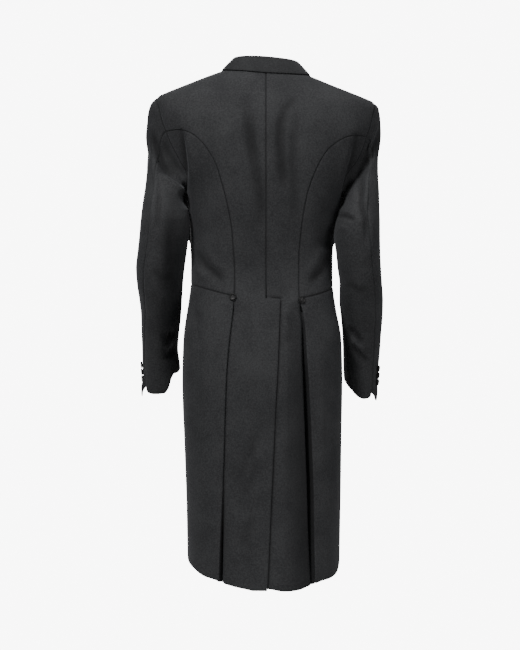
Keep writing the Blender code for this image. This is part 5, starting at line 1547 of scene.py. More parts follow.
@dataclass
class Skirt(Panel):
    """One skirt, from its turned pleat edge to the cutaway front edge."""

    cut: Cut = Cut(0.340, 0.640, 0.1700)
    turned: Row = (0.006, 0.010, 0.014, 0.018, 0.022, 0.026)
    turned_clear: float = 0.0022
    bend_steps: int = 12
    seam_drop: float = 0.00015
    plain_columns: int = 20

    def build(self) -> None:
        """Makes the piece."""
        sign, chart, seams = self.side.value, self.chart, self.seams
        top = np.concatenate([seams.waist_side, seams.waist_fore[1:]])
        cutaway = chart.trace(np.array(seams.paths.cutaway[::-1]) * (sign, 1.0), TAIL_ROWS)
        hem = chart.trace(np.vstack([seams.skirt_hem, cutaway[-1]]), len(top) - 1)
        coarse = patch(top, hem, np.concatenate([seams.pleat[:-1], hem[:1]]), cutaway)
        rows = graded(TAIL_ROWS, TAIL_SPLIT)
        grid = fine(coarse, rows, (), graded(len(top) - 1, COLUMN_SPLIT))
        turn, height = grid[:, 0].T
        flat = np.moveaxis(grid[:, len(EDGE_STEPS) + 2 :], -1, 0)
        faces = []
        for fold, depth in zip(fold_profile(self.turned, self.bend_steps), (0.0, -WALL)):
            columns = []
            for distance, lift in fold:
                beyond = sign * chart.step(np.abs(turn), height, distance)
                inside = ramp(distance, WALL + FOLD_GAP, self.turned[0])
                rise = seams.under_rise(beyond[-1], rows[::-1], self.turned_clear) * inside
                columns.append(chart.point(beyond, height + rise, np.full(len(turn), lift)))
            faces.append(np.concatenate([np.stack(columns, 1), chart.point(*flat, depth)], 1))
        normals = unit(np.cross(np.gradient(faces[0], axis=1), np.gradient(faces[0], axis=0)))
        plain = slice(-self.plain_columns, None)
        form = chart.look(*flat[..., plain])[1]
        normals *= np.where((normals[:, plain] * form).sum() < 0, -1.0, 1.0)
        cloth = Cloth(*faces, normals)
        cloth.move(unit(cloth.outer[1] - cloth.outer[0]) * self.seam_drop, 0)
        cloth.roll_edges(Rounding.SEAM, Border.BOTTOM)
        cloth.roll_edges(Rounding.EDGE, Border.TOP, Border.LAST)
        self.hang(f"skirt_{self.side.label}", cloth, self.cut)


@dataclass(frozen=True)
class SleeveForm:
    """Sizes of one sleeve as drawn from behind.

    lateral, medial and depth are the two edges and the middle's depth at each of TUBE_DOWNS; seams has down
    and the degrees of the hind and the fore seam; hem has degrees and down; head_moves has down and an
    outward move; flare has two downs between which the cuff's corner turns out, and by how much.
    """

    lateral: Row
    medial: Row
    depth: Row
    seams: tuple[Triple, ...]
    hem: Path
    head_moves: Path
    folds: tuple[Crease, ...]
    flare: Triple
    button_degrees: float
    button_downs: Row


# Downs at which the sleeves are drawn, and half their depth there
TUBE_DOWNS = (205, 220, 236, 252, 268, 284, 300, 316, 332, 348, 364, 380, 400)
HALF_DEPTHS = (0.064, 0.062, 0.06, 0.059, 0.058, 0.056, 0.054, 0.052, 0.05, 0.049, 0.048, 0.047, 0.046)
SLEEVES = {
    Side.LEFT: SleeveForm(
        lateral=(142.2, 140.6, 139.2, 137.5, 135.9, 137, 139.4, 141.1, 141.5, 142.1, 142.5, 143.4, 144.2),
        medial=(188.4, 189.8, 188.9, 187, 184.8, 183.2, 182.3, 181.2, 179.4, 178.2, 180, 181, 180.6),
        depth=(
            -0.026, -0.036, -0.038, -0.034, -0.027, -0.015, 0.004, 0.022, 0.042, 0.062, 0.08, 0.094,
            0.106,
        ),
        seams=((205, 34, -140), (250, 37, -122), (300, 45, -98), (350, 56, -66), (400, 62, -62)),
        hem=(
            (-120, 372), (-100, 369), (-72, 368.6), (-48, 372.4), (-34, 378), (-22, 389), (-8, 393.6),
            (20, 394.4), (45, 393.2), (54, 391.5), (62, 386.5), (74, 395), (84, 396), (104, 390),
            (140, 382), (180, 377), (220, 373.5), (240, 372),
        ),
        head_moves=(
            (88, 0), (95, 4.6), (101, 4.2), (112, 3.2), (124, 1.2), (136, 0.6), (146, -1.4), (154, -3.2),
            (164, -2.4), (184, -1.8), (200, -0.6), (212, 0),
        ),
        folds=(
            Crease(
                ((150, 124), (153, 138), (157, 150), (161, 162), (167, 172), (173, 179), (178, 182)),
                -0.008, 4.2, end=0.1,
            ),
            Crease(((158, 173), (166, 179), (176, 187), (190, 196)), 0.009, 3.8, end=0.9),
            Crease(((162, 138), (168, 154), (176, 168), (184, 176)), -0.0034, 5, shade=1.9),
            Crease(
                ((151, 150), (155.9, 178), (155.9, 188), (152.6, 205), (151.4, 232), (148, 252)),
                0.0046, 2.4, end=0.3,
            ),
            Crease(((160, 186), (158.4, 205), (156, 236)), -0.0034, 3.2),
            # this crease and the next two paint shade down the inside of the sleeve, far beyond what their
            # shallow folds cast
            Crease(
                ((173, 206), (174, 230), (176, 260), (175, 350)), -0.0120, 11.0, start=0.1, end=0.5, shade=2.2
            ),
            Crease(((173, 196), (172, 230), (170, 300), (170, 360)), -0.002, 10, start=0.9, shade=8),
            Crease(((150, 268), (162, 280), (176, 272)), -0.003, 4.2),
            Crease(((148, 286), (160, 296), (174, 290)), 0.0022, 4),
            Crease(((180, 328), (168, 342), (160, 328)), -0.0036, 3.6),
            Crease(((178, 345), (164, 362)), -0.003, 3.6),
            Crease(((177, 336), (166, 352)), 0.0024, 3.2),
        ),
        flare=(374, 388, 3.2),
        button_degrees=78,
        button_downs=(364.6, 371.6, 378.4),
    ),
    Side.RIGHT: SleeveForm(
        lateral=(379.2, 380, 380.1, 380.4, 381.1, 382.1, 383.1, 382.7, 381.3, 380.2, 378.8, 377.8, 375.8),
        medial=(341, 336, 333.8, 335.9, 337.5, 339.5, 339.3, 340.8, 342.2, 342.9, 343.2, 344, 347),
        depth=(
            -0.026, -0.036, -0.038, -0.036, -0.027, -0.015, 0.004, 0.022, 0.04, 0.056, 0.07, 0.082,
            0.094,
        ),
        seams=((205, 20, -140), (250, 32, -122), (300, 36, -90), (350, 38, -54), (400, 40, -38)),
        hem=(
            (-120, 380), (-100, 379.6), (-80, 380.8), (-52, 387.6), (-32, 393), (-14, 397.4), (6, 399.2),
            (24, 398.4), (34, 396.8), (41, 393.4), (54, 399.6), (66, 400.6), (100, 394), (140, 388),
            (180, 384), (220, 381), (240, 380),
        ),
        head_moves=(
            (90, 0), (96, -1.2), (104, 3.4), (112, 0.4), (124, -2), (136, -3), (148, -4.6), (156, -5.6),
            (166, -4.8), (178, -2.8), (190, -1), (204, 0),
        ),
        folds=(
            Crease(((378, 126), (375.5, 142), (371.5, 155), (362.5, 169), (346, 188)), -0.007, 2.8, end=0.6),
            Crease(((378, 108), (375.6, 126), (370.5, 145), (365, 157)), 0.0046, 2.6),
            Crease(((368, 160), (360, 172), (350, 186)), 0.0034, 3),
            Crease(((361.5, 174), (361, 205), (366, 220), (366.5, 246)), -0.0048, 2.6),
            Crease(((367, 172), (367, 190), (365.4, 210)), 0.004, 3),
            Crease(((372, 214), (372, 236), (371, 258)), 0.0026, 3),
            Crease(((336, 215), (346, 216.5), (356, 221)), -0.004, 2.8, start=0.6),
            Crease(((338, 226), (348, 230)), 0.0022, 3),
            Crease(((346, 326), (355, 335), (364, 346)), -0.0046, 3.2),
            Crease(((350, 342), (360, 356), (371, 363)), -0.004, 3),
            Crease(((348, 336), (358, 347), (366, 354)), 0.0028, 3),
            Crease(((346, 282), (358, 292), (370, 288)), -0.0026, 4),
        ),
        flare=(380, 394, 1.8),
        button_degrees=66,
        button_downs=(368.6, 375.4, 382.2),
    ),
}


@dataclass
class Sleeve(Panel):
    """Top and under sleeve.

    A cap leaves the armhole along the body, then a bent tube goes down to the cuff. Columns are counted round
    the armhole's loop, from the shoulder's tip down the back; hind and fore are those of the sleeve's seams.
    """

    top_cut: Cut = Cut(0.210, 0.700, 0.1080)
    under_cut: Cut = Cut(0.160, 0.560, 0.0575)
    cap_steps: int = 6
    tube_steps: int = 14
    split: int = 8
    loop_count: int = CAP_ROWS + SIDE_COLUMNS + FRONT_ARM_ROWS
    hind: int = 5
    fore: int = 15
    first_down: float = 212.0
    way_step: float = 8.0
    last_down: float = 388.0
    hem_key_down: float = 392.0
    hem_start: float = -120.0
    hem_from: float = 0.55
    back_pull: float = 0.046
    top_pull: float = 0.070
    low_pull: float = 0.014
    pull_weight: float = 3.0
    end_pull: float = 1.1
    end_pulls: Pair = (0.03, 0.17)
    cap_ease: float = 1.35
    bulge: float = 0.006
    bulge_pace: float = 1.15
    head_focus: float = 1.5
    own_rows: int = 2
    fold_facing: Pair = (-0.15, 0.35)
    underarm: Pair = (7.5, 17.5)
    underarm_rows: int = 9
    underarm_clear: float = 0.0040
    skin_turns: tuple[float, float, int] = (0.36, 0.66, 81)
    skin_heights: Triple = (-0.38, -0.14, 0.003)
    even_rounds: int = 3
    flare_along: Pair = (0.0, 0.010)
    flare_fade: Pair = (0.060, 0.018)

    @property
    def form(self) -> SleeveForm:
        """The drawn sizes of this sleeve."""
        return SLEEVES[self.side]

    def tube(self, degrees: Array, down: Array) -> Array:
        """Points of the sleeve below the armhole.

        Args:
            degrees: degrees round the sleeve from the back, the medial way minus.
            down: height, as drawn.

        Returns:
            The points.
        """
        columns = (self.form.lateral, self.form.medial, self.form.depth, HALF_DEPTHS)
        lateral, medial, depth, half_depth = (smooth(TUBE_DOWNS, column, down) for column in columns)
        angle = np.radians(degrees)
        scale = (EYE_DISTANCE + depth) / EYE_DISTANCE * UNIT
        centre = EYE_X + ((lateral + medial) / 2 - EYE_ACROSS) * scale
        half = np.abs(lateral - medial) / 2 * scale
        near = depth - half_depth * np.cos(angle)
        height = EYE_Z - (down - EYE_DOWN) * (EYE_DISTANCE + near) / EYE_DISTANCE * UNIT
        return np.stack([centre + self.side.value * half * np.sin(angle), near, height], -1)

    def degrees(self, order: Array, down: float) -> Array:
        """How far round the sleeve each column is.

        Args:
            order: places on the loop.
            down: height, as drawn.

        Returns:
            The degrees of each column.
        """
        keys, *columns = np.array(self.form.seams).T
        hind_turn, fore_turn = (float(smooth(keys, column, down)) for column in columns)
        hind, fore, count = self.hind, self.fore, self.loop_count
        round_way = 360 + fore_turn - hind_turn
        top = hind + count - fore
        before = hind_turn + round_way * (hind - order) / top
        under = hind_turn + (fore_turn - hind_turn) * (order - hind) / (fore - hind)
        front = hind_turn + round_way * (hind + count - order) / top
        return np.where(order <= hind, before, np.where(order <= fore, under, front))

    def start_line(self, order: Array) -> tuple[Array, Array, Array]:
        """The armhole at these places of its loop.

        Args:
            order: places on the loop.

        Returns:
            Points, the body's normals and the way into the sleeve.
        """
        seams, chart = self.seams, self.chart
        loop = np.concatenate([seams.cap[::-1], seams.armhole_back[1:], seams.armhole_front[1:]])
        coarse = chart.point(loop[:-1, 0], loop[:-1, 1])
        normal = chart.look(loop[:-1, 0], loop[:-1, 1])[1]
        into = unit(np.cross(normal, unit(np.roll(coarse, -1, 0) - np.roll(coarse, 1, 0))))
        into *= np.where(((coarse.mean(0) - coarse) * into).sum(-1, keepdims=True) < 0, -1.0, 1.0)
        wrapped = np.concatenate([into[-2:], into, into[:3]])
        turn, height = read_broken(loop, order, (CAP_ROWS, CAP_ROWS + SIDE_COLUMNS)).T
        way = unit(read_line(wrapped, order + 2)[: len(order)])
        return chart.point(turn, height), chart.look(turn, height)[1], way

    def pushed(self, points: Array, clear: Array) -> Array:
        """Points under the arm moved out where they are less than this far off the body.

        Args:
            points: points of the sleeve.
            clear: how far off they have to be.

        Returns:
            The moved points.
        """
        turns = np.linspace(*self.skin_turns) * self.side.value
        turns, heights = np.meshgrid(turns, np.arange(*self.skin_heights))
        skin = self.chart.point(turns, heights).reshape(-1, 3)
        out = self.chart.look(turns, heights)[1].reshape(-1, 3)
        flat = points.reshape(-1, 3)
        nearest = np.array([((skin - place) ** 2).sum(1).argmin() for place in flat])
        off = ((flat - skin[nearest]) * out[nearest]).sum(1)
        short = np.maximum(np.broadcast_to(clear, points.shape[:2]).reshape(-1) - off, 0.0)
        moves = (out[nearest] * short[:, None]).reshape(points.shape)
        for _ in range(self.even_rounds):
            moves[1:-1] = (moves[:-2] + 2 * moves[1:-1] + moves[2:]) / 4
            moves[:, 1:-1] = (moves[:, :-2] + 2 * moves[:, 1:-1] + moves[:, 2:]) / 4
        return points + moves

    def cap(self, order: Array, armhole: tuple[Array, Array, Array], lateral: Array) -> list[Array]:
        """Rows of the sleeve from the armhole to the top of the tube.

        Args:
            order: places on the loop.
            armhole: what start_line gives.
            lateral: how far each column is to the outside, -1 to 1.

        Returns:
            Points of each row.
        """
        base, body_normal, into = armhole
        start = base + into * 2 * HALF_SEAM
        joined = self.tube(self.degrees(order, self.first_down), np.full(len(order), self.first_down))
        reach = np.where(lateral > 0, self.top_pull, self.low_pull) - self.back_pull
        pull = (self.back_pull + reach * np.abs(lateral))[:, None]
        end_pull = np.clip(np.abs(joined[:, 2] - start[:, 2]) * self.end_pull, *self.end_pulls)[:, None]
        next_down = self.first_down + self.way_step
        end_way = unit(self.tube(self.degrees(order, next_down), np.full(len(order), next_down)) - joined)
        steps, rows = self.cap_steps * self.split, []
        for s in (np.arange(steps + 1) / steps) ** self.cap_ease:
            swell = math.sin(math.pi * min(1.0, s * self.bulge_pace))
            puff = self.bulge * np.clip(-lateral, 0, 1) * swell
            rows.append(
                start * (1 + 2 * s) * (1 - s) ** 2
                + into * pull * s * (1 - s) ** 2 * self.pull_weight
                + joined * s * s * (3 - 2 * s)
                + end_way * end_pull * s * s * (s - 1)
                + body_normal * puff[:, None]
            )
        return rows

    def arm(self, order: Array) -> list[Array]:
        """Rows of the sleeve from below the cap to the hem.

        Args:
            order: places on the loop.

        Returns:
            Points of each row.
        """
        keys, values = np.array(self.form.hem).T
        degrees = self.degrees(order, self.hem_key_down)
        hem = smooth(keys, values, (degrees - self.hem_start) % 360.0 + self.hem_start)
        steps, rows = self.tube_steps * self.split, []
        for part in np.arange(1, steps + 1) / steps:
            down = self.first_down + (self.last_down - self.first_down) * part
            level = down + (hem - self.last_down) * ramp(part, self.hem_from, 1.0)
            rows.append(self.tube(self.degrees(order, down), level))
        return rows

    def surface(self) -> tuple[Array, Array, Array, Array]:
        """The whole sleeve, as it is worn.

        Returns:
            Outer points, normals, the place on the loop of each column, and how far the folds press it in,
            which sets the shade painted there.
        """
        near = [np.array(EDGE_STEPS) * way + seam for seam in (self.hind, self.fore) for way in (-1, 1)]
        order = np.concatenate([np.arange(0, self.loop_count, 1 / self.split), *near])
        order = np.unique(order.round(6))
        armhole = self.start_line(order)
        lateral = np.sin(np.radians(self.degrees(order, self.first_down)))
        grid = np.array(self.cap(order, armhole, lateral) + self.arm(order))
        rows = np.arange(len(grid)) / self.split
        own = ramp(rows, 0, self.own_rows)[:, None]
        downs, moves = np.array(self.form.head_moves).T
        outward = np.clip(lateral, 0, 1) ** self.head_focus * UNIT * self.side.value
        grid[..., 0] += smooth(downs, moves, seen(grid)[1]) * outward * ramp(rows, 0, 1)[:, None]
        low = np.flatnonzero((order >= self.underarm[0]) & (order <= self.underarm[1]))
        high = self.underarm_rows * self.split
        grid[:high, low] = self.pushed(grid[:high, low], self.underarm_clear * own[:high])
        normals = self._square(grid)
        tube = slice(4 * self.split, None)
        if ((grid - grid.mean(1, keepdims=True))[tube] * normals[tube]).sum() < 0:
            normals = -normals
        body_normal = armhole[1]
        normals = unit(body_normal * (1 - own[..., None]) + normals * own[..., None])
        facing = ramp(-normals[..., 1], *self.fold_facing)
        lift = folded(self.form.folds, *seen(grid)) * facing
        grid = grid + normals * (lift * own)[..., None]
        final = self._square(grid)
        final *= np.where((final * normals).sum(-1, keepdims=True) < 0, -1.0, 1.0)
        # how much shade to paint in the sleeve's folds
        shaded = painted_dark(self.form.folds, *seen(grid)) * facing * own
        return grid, unit(body_normal * (1 - own[..., None]) + final * own[..., None]), order, shaded

    def _square(self, grid: Array) -> Array:
        """Directions square to a grid that closes round the arm."""
        return unit(np.cross(np.roll(grid, -1, 1) - np.roll(grid, 1, 1), np.gradient(grid, axis=0)))

    def flare(self, cloth: Cloth) -> None:
        """Turns the corner of the top sleeve at the cuff vent outward.

        Args:
            cloth: the top sleeve.
        """
        start, end, move = self.form.flare
        off = np.linalg.norm(cloth.outer - cloth.outer[:, :1], axis=-1)
        beside = ramp(off, *self.flare_along) * ramp(off, *self.flare_fade)
        out = move * UNIT * self.side.value * ramp(seen(cloth.outer)[1], start, end) * beside
        cloth.move(out, (..., 0))

    def build(self) -> None:
        """Makes both pieces."""
        outer, normals, order, lift = self.surface()
        hind, fore = (int(np.searchsorted(order, seam)) for seam in (self.hind, self.fore))
        top = np.concatenate([np.arange(hind, -1, -1), np.arange(len(order) - 1, fore - 1, -1)])
        under = np.arange(hind, fore + 1)
        for name, columns, cut in (("top", top, self.top_cut), ("under", under, self.under_cut)):
            face, square = outer[:, columns], normals[:, columns]
            cloth = Cloth(face, face - square * WALL, square)
            # painted shade in the sleeve's folds
            cloth.paint_fold_shade(lift[:, columns])
            cloth.open_seams(Border.FIRST, Border.LAST)
            if name == "top":
                self.flare(cloth)
            cloth.roll_edges(Rounding.ARM_SEAM, Border.FIRST, Border.LAST)
            cloth.roll_edges(Rounding.ARMHOLE, Border.BOTTOM)
            cloth.roll_edges(Rounding.EDGE, Border.TOP)
            self.hang(f"{name}_sleeve_{self.side.label}", cloth, cut)


@dataclass
class Collar(Panel):
    """Stand and fall as one folded strip round the neck.

    shape has rows of place, height of the stand and bulge of the fall; neck and fall have rows of place, turn
    and height of the neck seam and of the outer edge. Places go from 0 at the centre back to 1 in front.
    """

    cut: Cut = Cut(0.420, 0.095, 0.0205)
    wall: float = 0.0022
    sections: int = 168
    lean: float = 0.45
    foot_lift: float = -0.0004
    foot_rise: float = 0.0012
    edge_lift: float = 0.0024
    crown_radius: float = 0.0024
    crown_height: float = 0.0026
    crown_drop: float = 0.003
    crown_degrees: tuple[float, float, int] = (180, 45, 10)
    stand_steps: int = 8
    fall_steps: int = 16
    bulge_pull: float = 1.6
    fall_shade: float = 0.33
    shape: Rows = (
        (0, 0.0196, 0.0008), (0.35, 0.0196, 0.0004), (0.55, 0.0186, 0.0002), (0.65, 0.0168, 0.0012),
        (0.8, 0.0125, 0.0036), (0.92, 0.008, 0.0046), (1, 0.0045, 0.0054),
    )
    neck: Rows = (
        (0, 0, 0.01), (0.35, 0.28, 0.0095), (0.62, 0.5, 0.0085), (0.8, 0.6, 0.0078), (0.92, 0.665, 0.0045),
        (1, 0.7, 0.001),
    )
    fall: Rows = (
        (0, 0, -0.006), (0.35, 0.26, -0.0035), (0.62, 0.5, 0), (0.8, 0.643, -0.01), (0.92, 0.751, -0.034),
        (1, 0.824, -0.0575),
    )

    def section(self, part: float) -> tuple[Array, Array]:
        """One section of the collar.

        Args:
            part: place on the collar, -1 to 1.

        Returns:
            Points of the cloth's middle, from the neck seam over the crown to the edge, and their normals.
        """
        side = -1.0 if part < 0 else 1.0
        tables = [np.array(rows).T for rows in (self.shape, self.neck, self.fall)]
        values = [[float(smooth(rows[0], row, abs(part))) for row in rows[1:]] for rows in tables]
        (stand, bulge), *places = values
        foot, edge = (
            self.chart.point(np.array(turn * side), np.array(height), np.array(lift))
            for (turn, height), lift in zip(places, (self.foot_lift, self.edge_lift))
        )
        out, up = unit((edge - foot) * (1.0, 1.0, 0.0)), np.array([0.0, 0.0, 1.0])
        foot = foot + up * self.foot_rise
        radius, height = self.crown_radius, self.crown_height
        crown = foot + up * (stand - self.crown_drop) + out * (radius - self.lean * stand)
        rise = np.linspace(0, 1, self.stand_steps + 1)[:-1, None]
        angles = np.radians(np.linspace(*self.crown_degrees))[:, None]
        arc = crown + out * radius * np.cos(angles) + up * height * np.sin(angles)
        control = (arc[-1] + edge) / 2 + unit(out + up) * bulge * self.bulge_pull
        s = np.linspace(0, 1, self.fall_steps + 1)[1:, None]
        drop = arc[-1] * (1 - s) ** 2 + control * 2 * s * (1 - s) + edge * s * s
        path = np.concatenate([foot + (crown - out * radius - foot) * rise, arc, drop])
        way = np.gradient(path, axis=0)
        flat = unit(np.stack([(way * out).sum(-1), way[:, 2]], -1))
        return path, out[None] * -flat[:, 1:2] + up[None] * flat[:, :1]

    def build(self) -> None:
        """Makes the piece."""
        sections = [self.section(part) for part in np.linspace(-1, 1, self.sections + 1)]
        path, square = (np.array(rows) for rows in zip(*sections))
        cloth = Cloth(path + square * self.wall / 2, path - square * self.wall / 2, square)
        # painted shade over the whole collar, which darkens it evenly
        cloth.hollow_and_painted_shade += self.fall_shade
        cloth.roll_edges(Rounding.EDGE, Border.LAST, Border.BOTTOM, Border.TOP)
        self.hang("collar", cloth, self.cut, "folded")


# The lapel's outer edge from its foot, and its top edge from the roll line, by across and height
LAPEL_EDGE = (
    (0.015, -0.385), (0.038, -0.35), (0.066, -0.29), (0.088, -0.21), (0.106, -0.13), (0.117, -0.085),
    (0.128, -0.044),
)
LAPEL_TOP = ((0.0640, -0.0120), (0.0725, -0.0380), (0.0870, -0.0650), (0.1060, -0.0560), (0.1280, -0.0440))


@dataclass
class Lapel(Panel):
    """The turned front: it leaves the front edge of its forepart, rolls over and lies on it."""

    cut: Cut = Cut(0.100, 0.400, 0.0220)
    rows: int = 96
    columns: int = 36
    foot_gaps: Pair = (0.01, 0.02)
    top_from: float = 0.55
    lift: float = 0.0008
    roll_puff: float = 0.0016
    rise: float = 0.0022
    rise_heights: Pair = (-0.100, -0.050)
    stub: float = 0.0016
    bend_steps: int = 12
    plain_columns: int = 10

    def grid(self) -> Array:
        """Turns and heights of the lapel, from the roll line to its edge.

        Returns:
            The grid.
        """
        chart, side, paths, roll_line = self.chart, self.side, self.seams.paths, self.seams.roll
        line = chart.trace(roll_line, TRACE_POINTS)
        foot = line[np.argmin(np.abs(line[:, 1] - paths.lapel_start))]
        head = line[np.argmin(np.abs(line[:, 1] - LAPEL_TOP[0][1]))]
        between = roll_line[roll_line[:, 1] > paths.lapel_start + self.foot_gaps[0]][:-1]
        first = chart.trace(np.vstack([foot, between, head]), self.rows)
        begin = chart.on_front((paths.lapel_foot,), side)
        edge = chart.on_front(LAPEL_EDGE, side)
        edge = edge[edge[:, 1] > begin[0, 1] + self.foot_gaps[1]]
        last = chart.trace(np.vstack([begin, edge]), self.rows)
        top = chart.trace(np.vstack([first[-1:], chart.on_front(LAPEL_TOP, side)[1:]]), self.columns)
        across = np.linspace(0, 1, self.columns + 1)[:, None]
        dip = top - top[0] * (1 - across) - top[-1] * across
        near_top = ramp(np.linspace(0, 1, self.rows + 1), self.top_from, 1.0)[:, None, None]
        return first[:, None] * (1 - across) + last[:, None] * across + dip * near_top

    def build(self) -> None:
        """Makes the piece."""
        turn, height = np.moveaxis(self.grid(), -1, 0)
        share = np.linspace(0, 1, self.columns + 1)[None]
        puff = self.lift + self.roll_puff * (1 - share) ** 2 + self.rise * ramp(height, *self.rise_heights)
        under = self.chart.point(turn, height, fore_lift(self.side, turn))
        normals = self.chart.look(turn, height)[1]
        outer, inner = under + normals * (puff + WALL)[..., None], under + normals * puff[..., None]
        point, normal = under[:, 0], normals[:, 0]
        away = unit(np.cross(np.gradient(point, axis=0), normal))
        away *= np.where((away[:-2] * (outer[:-2, 0] - outer[:-2, 1])).sum() < 0, -1.0, 1.0)
        inner_radius = puff[:, :1] / 2
        middle = puff[:, :1] - inner_radius
        bends: list[list[Array]] = [[], []]
        for angle in np.radians(np.linspace(270, 90, self.bend_steps + 1)[:-1]):
            for bend, radius in zip(bends, (inner_radius + WALL, inner_radius)):
                off, up = self.stub - radius * math.cos(angle), middle + radius * math.sin(angle)
                bend.append(point + away * off + normal * up)
        outer, inner = (
            np.concatenate([np.stack(bend, 1), face], 1) for bend, face in zip(bends, (outer, inner))
        )
        full = unit(np.cross(np.gradient(outer, axis=1), np.gradient(outer, axis=0)))
        plain = slice(-self.plain_columns, None)
        full *= np.where((full[:, plain] * normals[:, plain]).sum() < 0, -1.0, 1.0)
        cloth = Cloth(outer, inner, full)
        cloth.roll_edges(Rounding.EDGE, Border.LAST, Border.TOP)
        self.hang(f"lapel_{self.side.label}", cloth, self.cut, "folded")


@dataclass
class Button:
    """A horn button with a rim, a dished middle and its sewing thread.

    profile has reach and rise, in shares of the radius and the thickness, from the back to the dish.
    """

    node: str
    centre: Array
    normal: Array
    radius: float
    thickness: float
    finishes: Finishes
    sides: int = 40
    profile: Path = (
        (0, 0), (0.8, 0), (0.93, 0.1), (1, 0.3), (1, 0.58), (0.965, 0.82), (0.9, 0.97), (0.82, 1),
        (0.74, 0.95), (0.67, 0.82), (0.6, 0.76), (0.3, 0.74), (0, 0.74),
    )
    thread_reach: float = 0.20
    thread_radius: float = 0.055
    thread_bow: float = 0.14
    thread_points: int = 9

    def frame(self) -> tuple[Array, Array, Array]:
        """How the button lies.

        Returns:
            Its across, upward and outward directions.
        """
        normal = unit(np.asarray(self.normal, float))
        across = unit(np.cross(normal, (0.0, 0.0, 1.0)))
        return across, np.cross(normal, across), normal

    def build(self) -> None:
        """Makes the button and its thread."""
        across, upward, normal = self.frame()
        swing = np.linspace(0, math.tau, self.sides, endpoint=False)[:, None]
        ring = np.cos(swing) * across + np.sin(swing) * upward
        made = mesh_object(f"{self.node}_horn", *lofted([
            self.centre + ring * self.radius * reach + normal * self.thickness * rise
            for reach, rise in self.profile
        ]))
        made.data.materials.append(self.finishes.horn)
        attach(made, "root")
        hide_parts(self.node)
        self.sew()
        log.info("%s: %.1f mm wide", self.node, self.radius * 2000)

    def sew(self) -> None:
        """Makes the thread that crosses the button's four holes."""
        across, upward, normal = self.frame()
        reach, top = self.thread_reach * self.radius, self.thickness * self.profile[-1][1]
        bow = np.linspace(-1, 1, self.thread_points)[:, None]
        rise = normal * self.thickness * self.thread_bow * (1 - bow**2)
        stitches = []
        for way, off in ((across, upward), (across, -upward), (upward, across), (upward, -across)):
            stitches.append(self.centre + normal * top + off * reach + way * reach * bow + rise)
        radius = self.thread_radius * self.radius
        thread_object(f"{self.node}_thread", stitches, radius, self.finishes.thread)


# Corners round a thread, and how its ends taper: how near the tip, how late and down to what share
THREAD_SIDES, TAPER_END, TAPER_POWER, TAPER_LEAST = 6, 0.97, 6, 0.05
STEEP = 0.9


def thread_object(name: str, lines: list[Array], radius: float, thread: bpy.types.Material) -> None:
    """Makes stitches as one object: a thin tapered tube along each line.

    Args:
        name: name of the object.
        lines: points of each stitch.
        radius: half the thread's thickness.
        thread: its material.
    """
    points, faces, base = [], [], 0
    swing = np.linspace(0, math.tau, THREAD_SIDES, endpoint=False)[:, None]
    for line in lines:
        way = unit(np.gradient(line, axis=0))
        over = unit(np.cross(way, np.where(np.abs(way[:, 2:]) > STEEP, (1.0, 0.0, 0.0), (0.0, 0.0, 1.0))))
        square = np.cross(way, over)
        ends = np.linspace(-TAPER_END, TAPER_END, len(line)) ** TAPER_POWER
        taper = np.sqrt(np.clip(1 - ends, TAPER_LEAST, 1))[:, None, None] * radius
        ring = over[:, None] * np.cos(swing) + square[:, None] * np.sin(swing)
        tube, corners = lofted(list(line[:, None] + ring * taper))
        points.append(tube)
        faces.append(corners + base)
        base += len(tube)
    made = mesh_object(name, np.concatenate(points), np.concatenate(faces))
    made.data.materials.append(thread)
    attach(made, "root")


@dataclass
class Buttons:
    """Two waist buttons behind, three on each cuff and one in front; sizes are radius and thickness."""

    chart: CoatChart
    finishes: Finishes
    lift: float = 0.0005
    cuff_lift: float = 0.0009
    back_size: Pair = (0.0075, 0.0032)
    cuff_size: Pair = (0.0072, 0.0032)
    front_size: Pair = (0.0100, 0.0036)
    back_places: tuple[tuple, ...] = ((Side.LEFT, 233.0, 297.0), (Side.RIGHT, 301.6, 300.0))
    front_place: Pair = (-1.0, -0.412)
    beside: float = 2.0

    def on_body(self, node: str, turn: float, height: float, size: Pair) -> None:
        """Sews a button to the body at this turn and height."""
        centre = self.chart.point(np.array(turn), np.array(height), self.lift)
        Button(node, centre, self.chart.look(turn, height)[1], *size, self.finishes).build()

    def on_cuff(self, sleeve: Sleeve) -> None:
        """Sews three buttons to a cuff.

        Args:
            sleeve: the sleeve.
        """
        degrees = sleeve.form.button_degrees
        for number, down in enumerate(sleeve.form.button_downs, 1):
            place = sleeve.tube(np.array(degrees), np.array(down))
            along = sleeve.tube(np.array(degrees + self.beside), np.array(down)) - place
            below = sleeve.tube(np.array(degrees), np.array(down + self.beside)) - place
            normal = unit(np.cross(along, below))
            normal = normal if normal[0] * sleeve.side.value > 0 else -normal
            node = f"cuff_button_{sleeve.side.label}_{number}"
            Button(node, place + normal * self.cuff_lift, normal, *self.cuff_size, self.finishes).build()

    def build(self, sleeves: list[Sleeve]) -> None:
        """Sews all the buttons.

        Args:
            sleeves: both sleeves.
        """
        for side, across, down in self.back_places:
            turn, height = self.chart.drawn(((across, down),))[0]
            self.on_body(f"back_button_{side.label}", turn, height, self.back_size)
        self.on_body("front_button", *self.front_place, self.front_size)
        for sleeve in sleeves:
            self.on_cuff(sleeve)


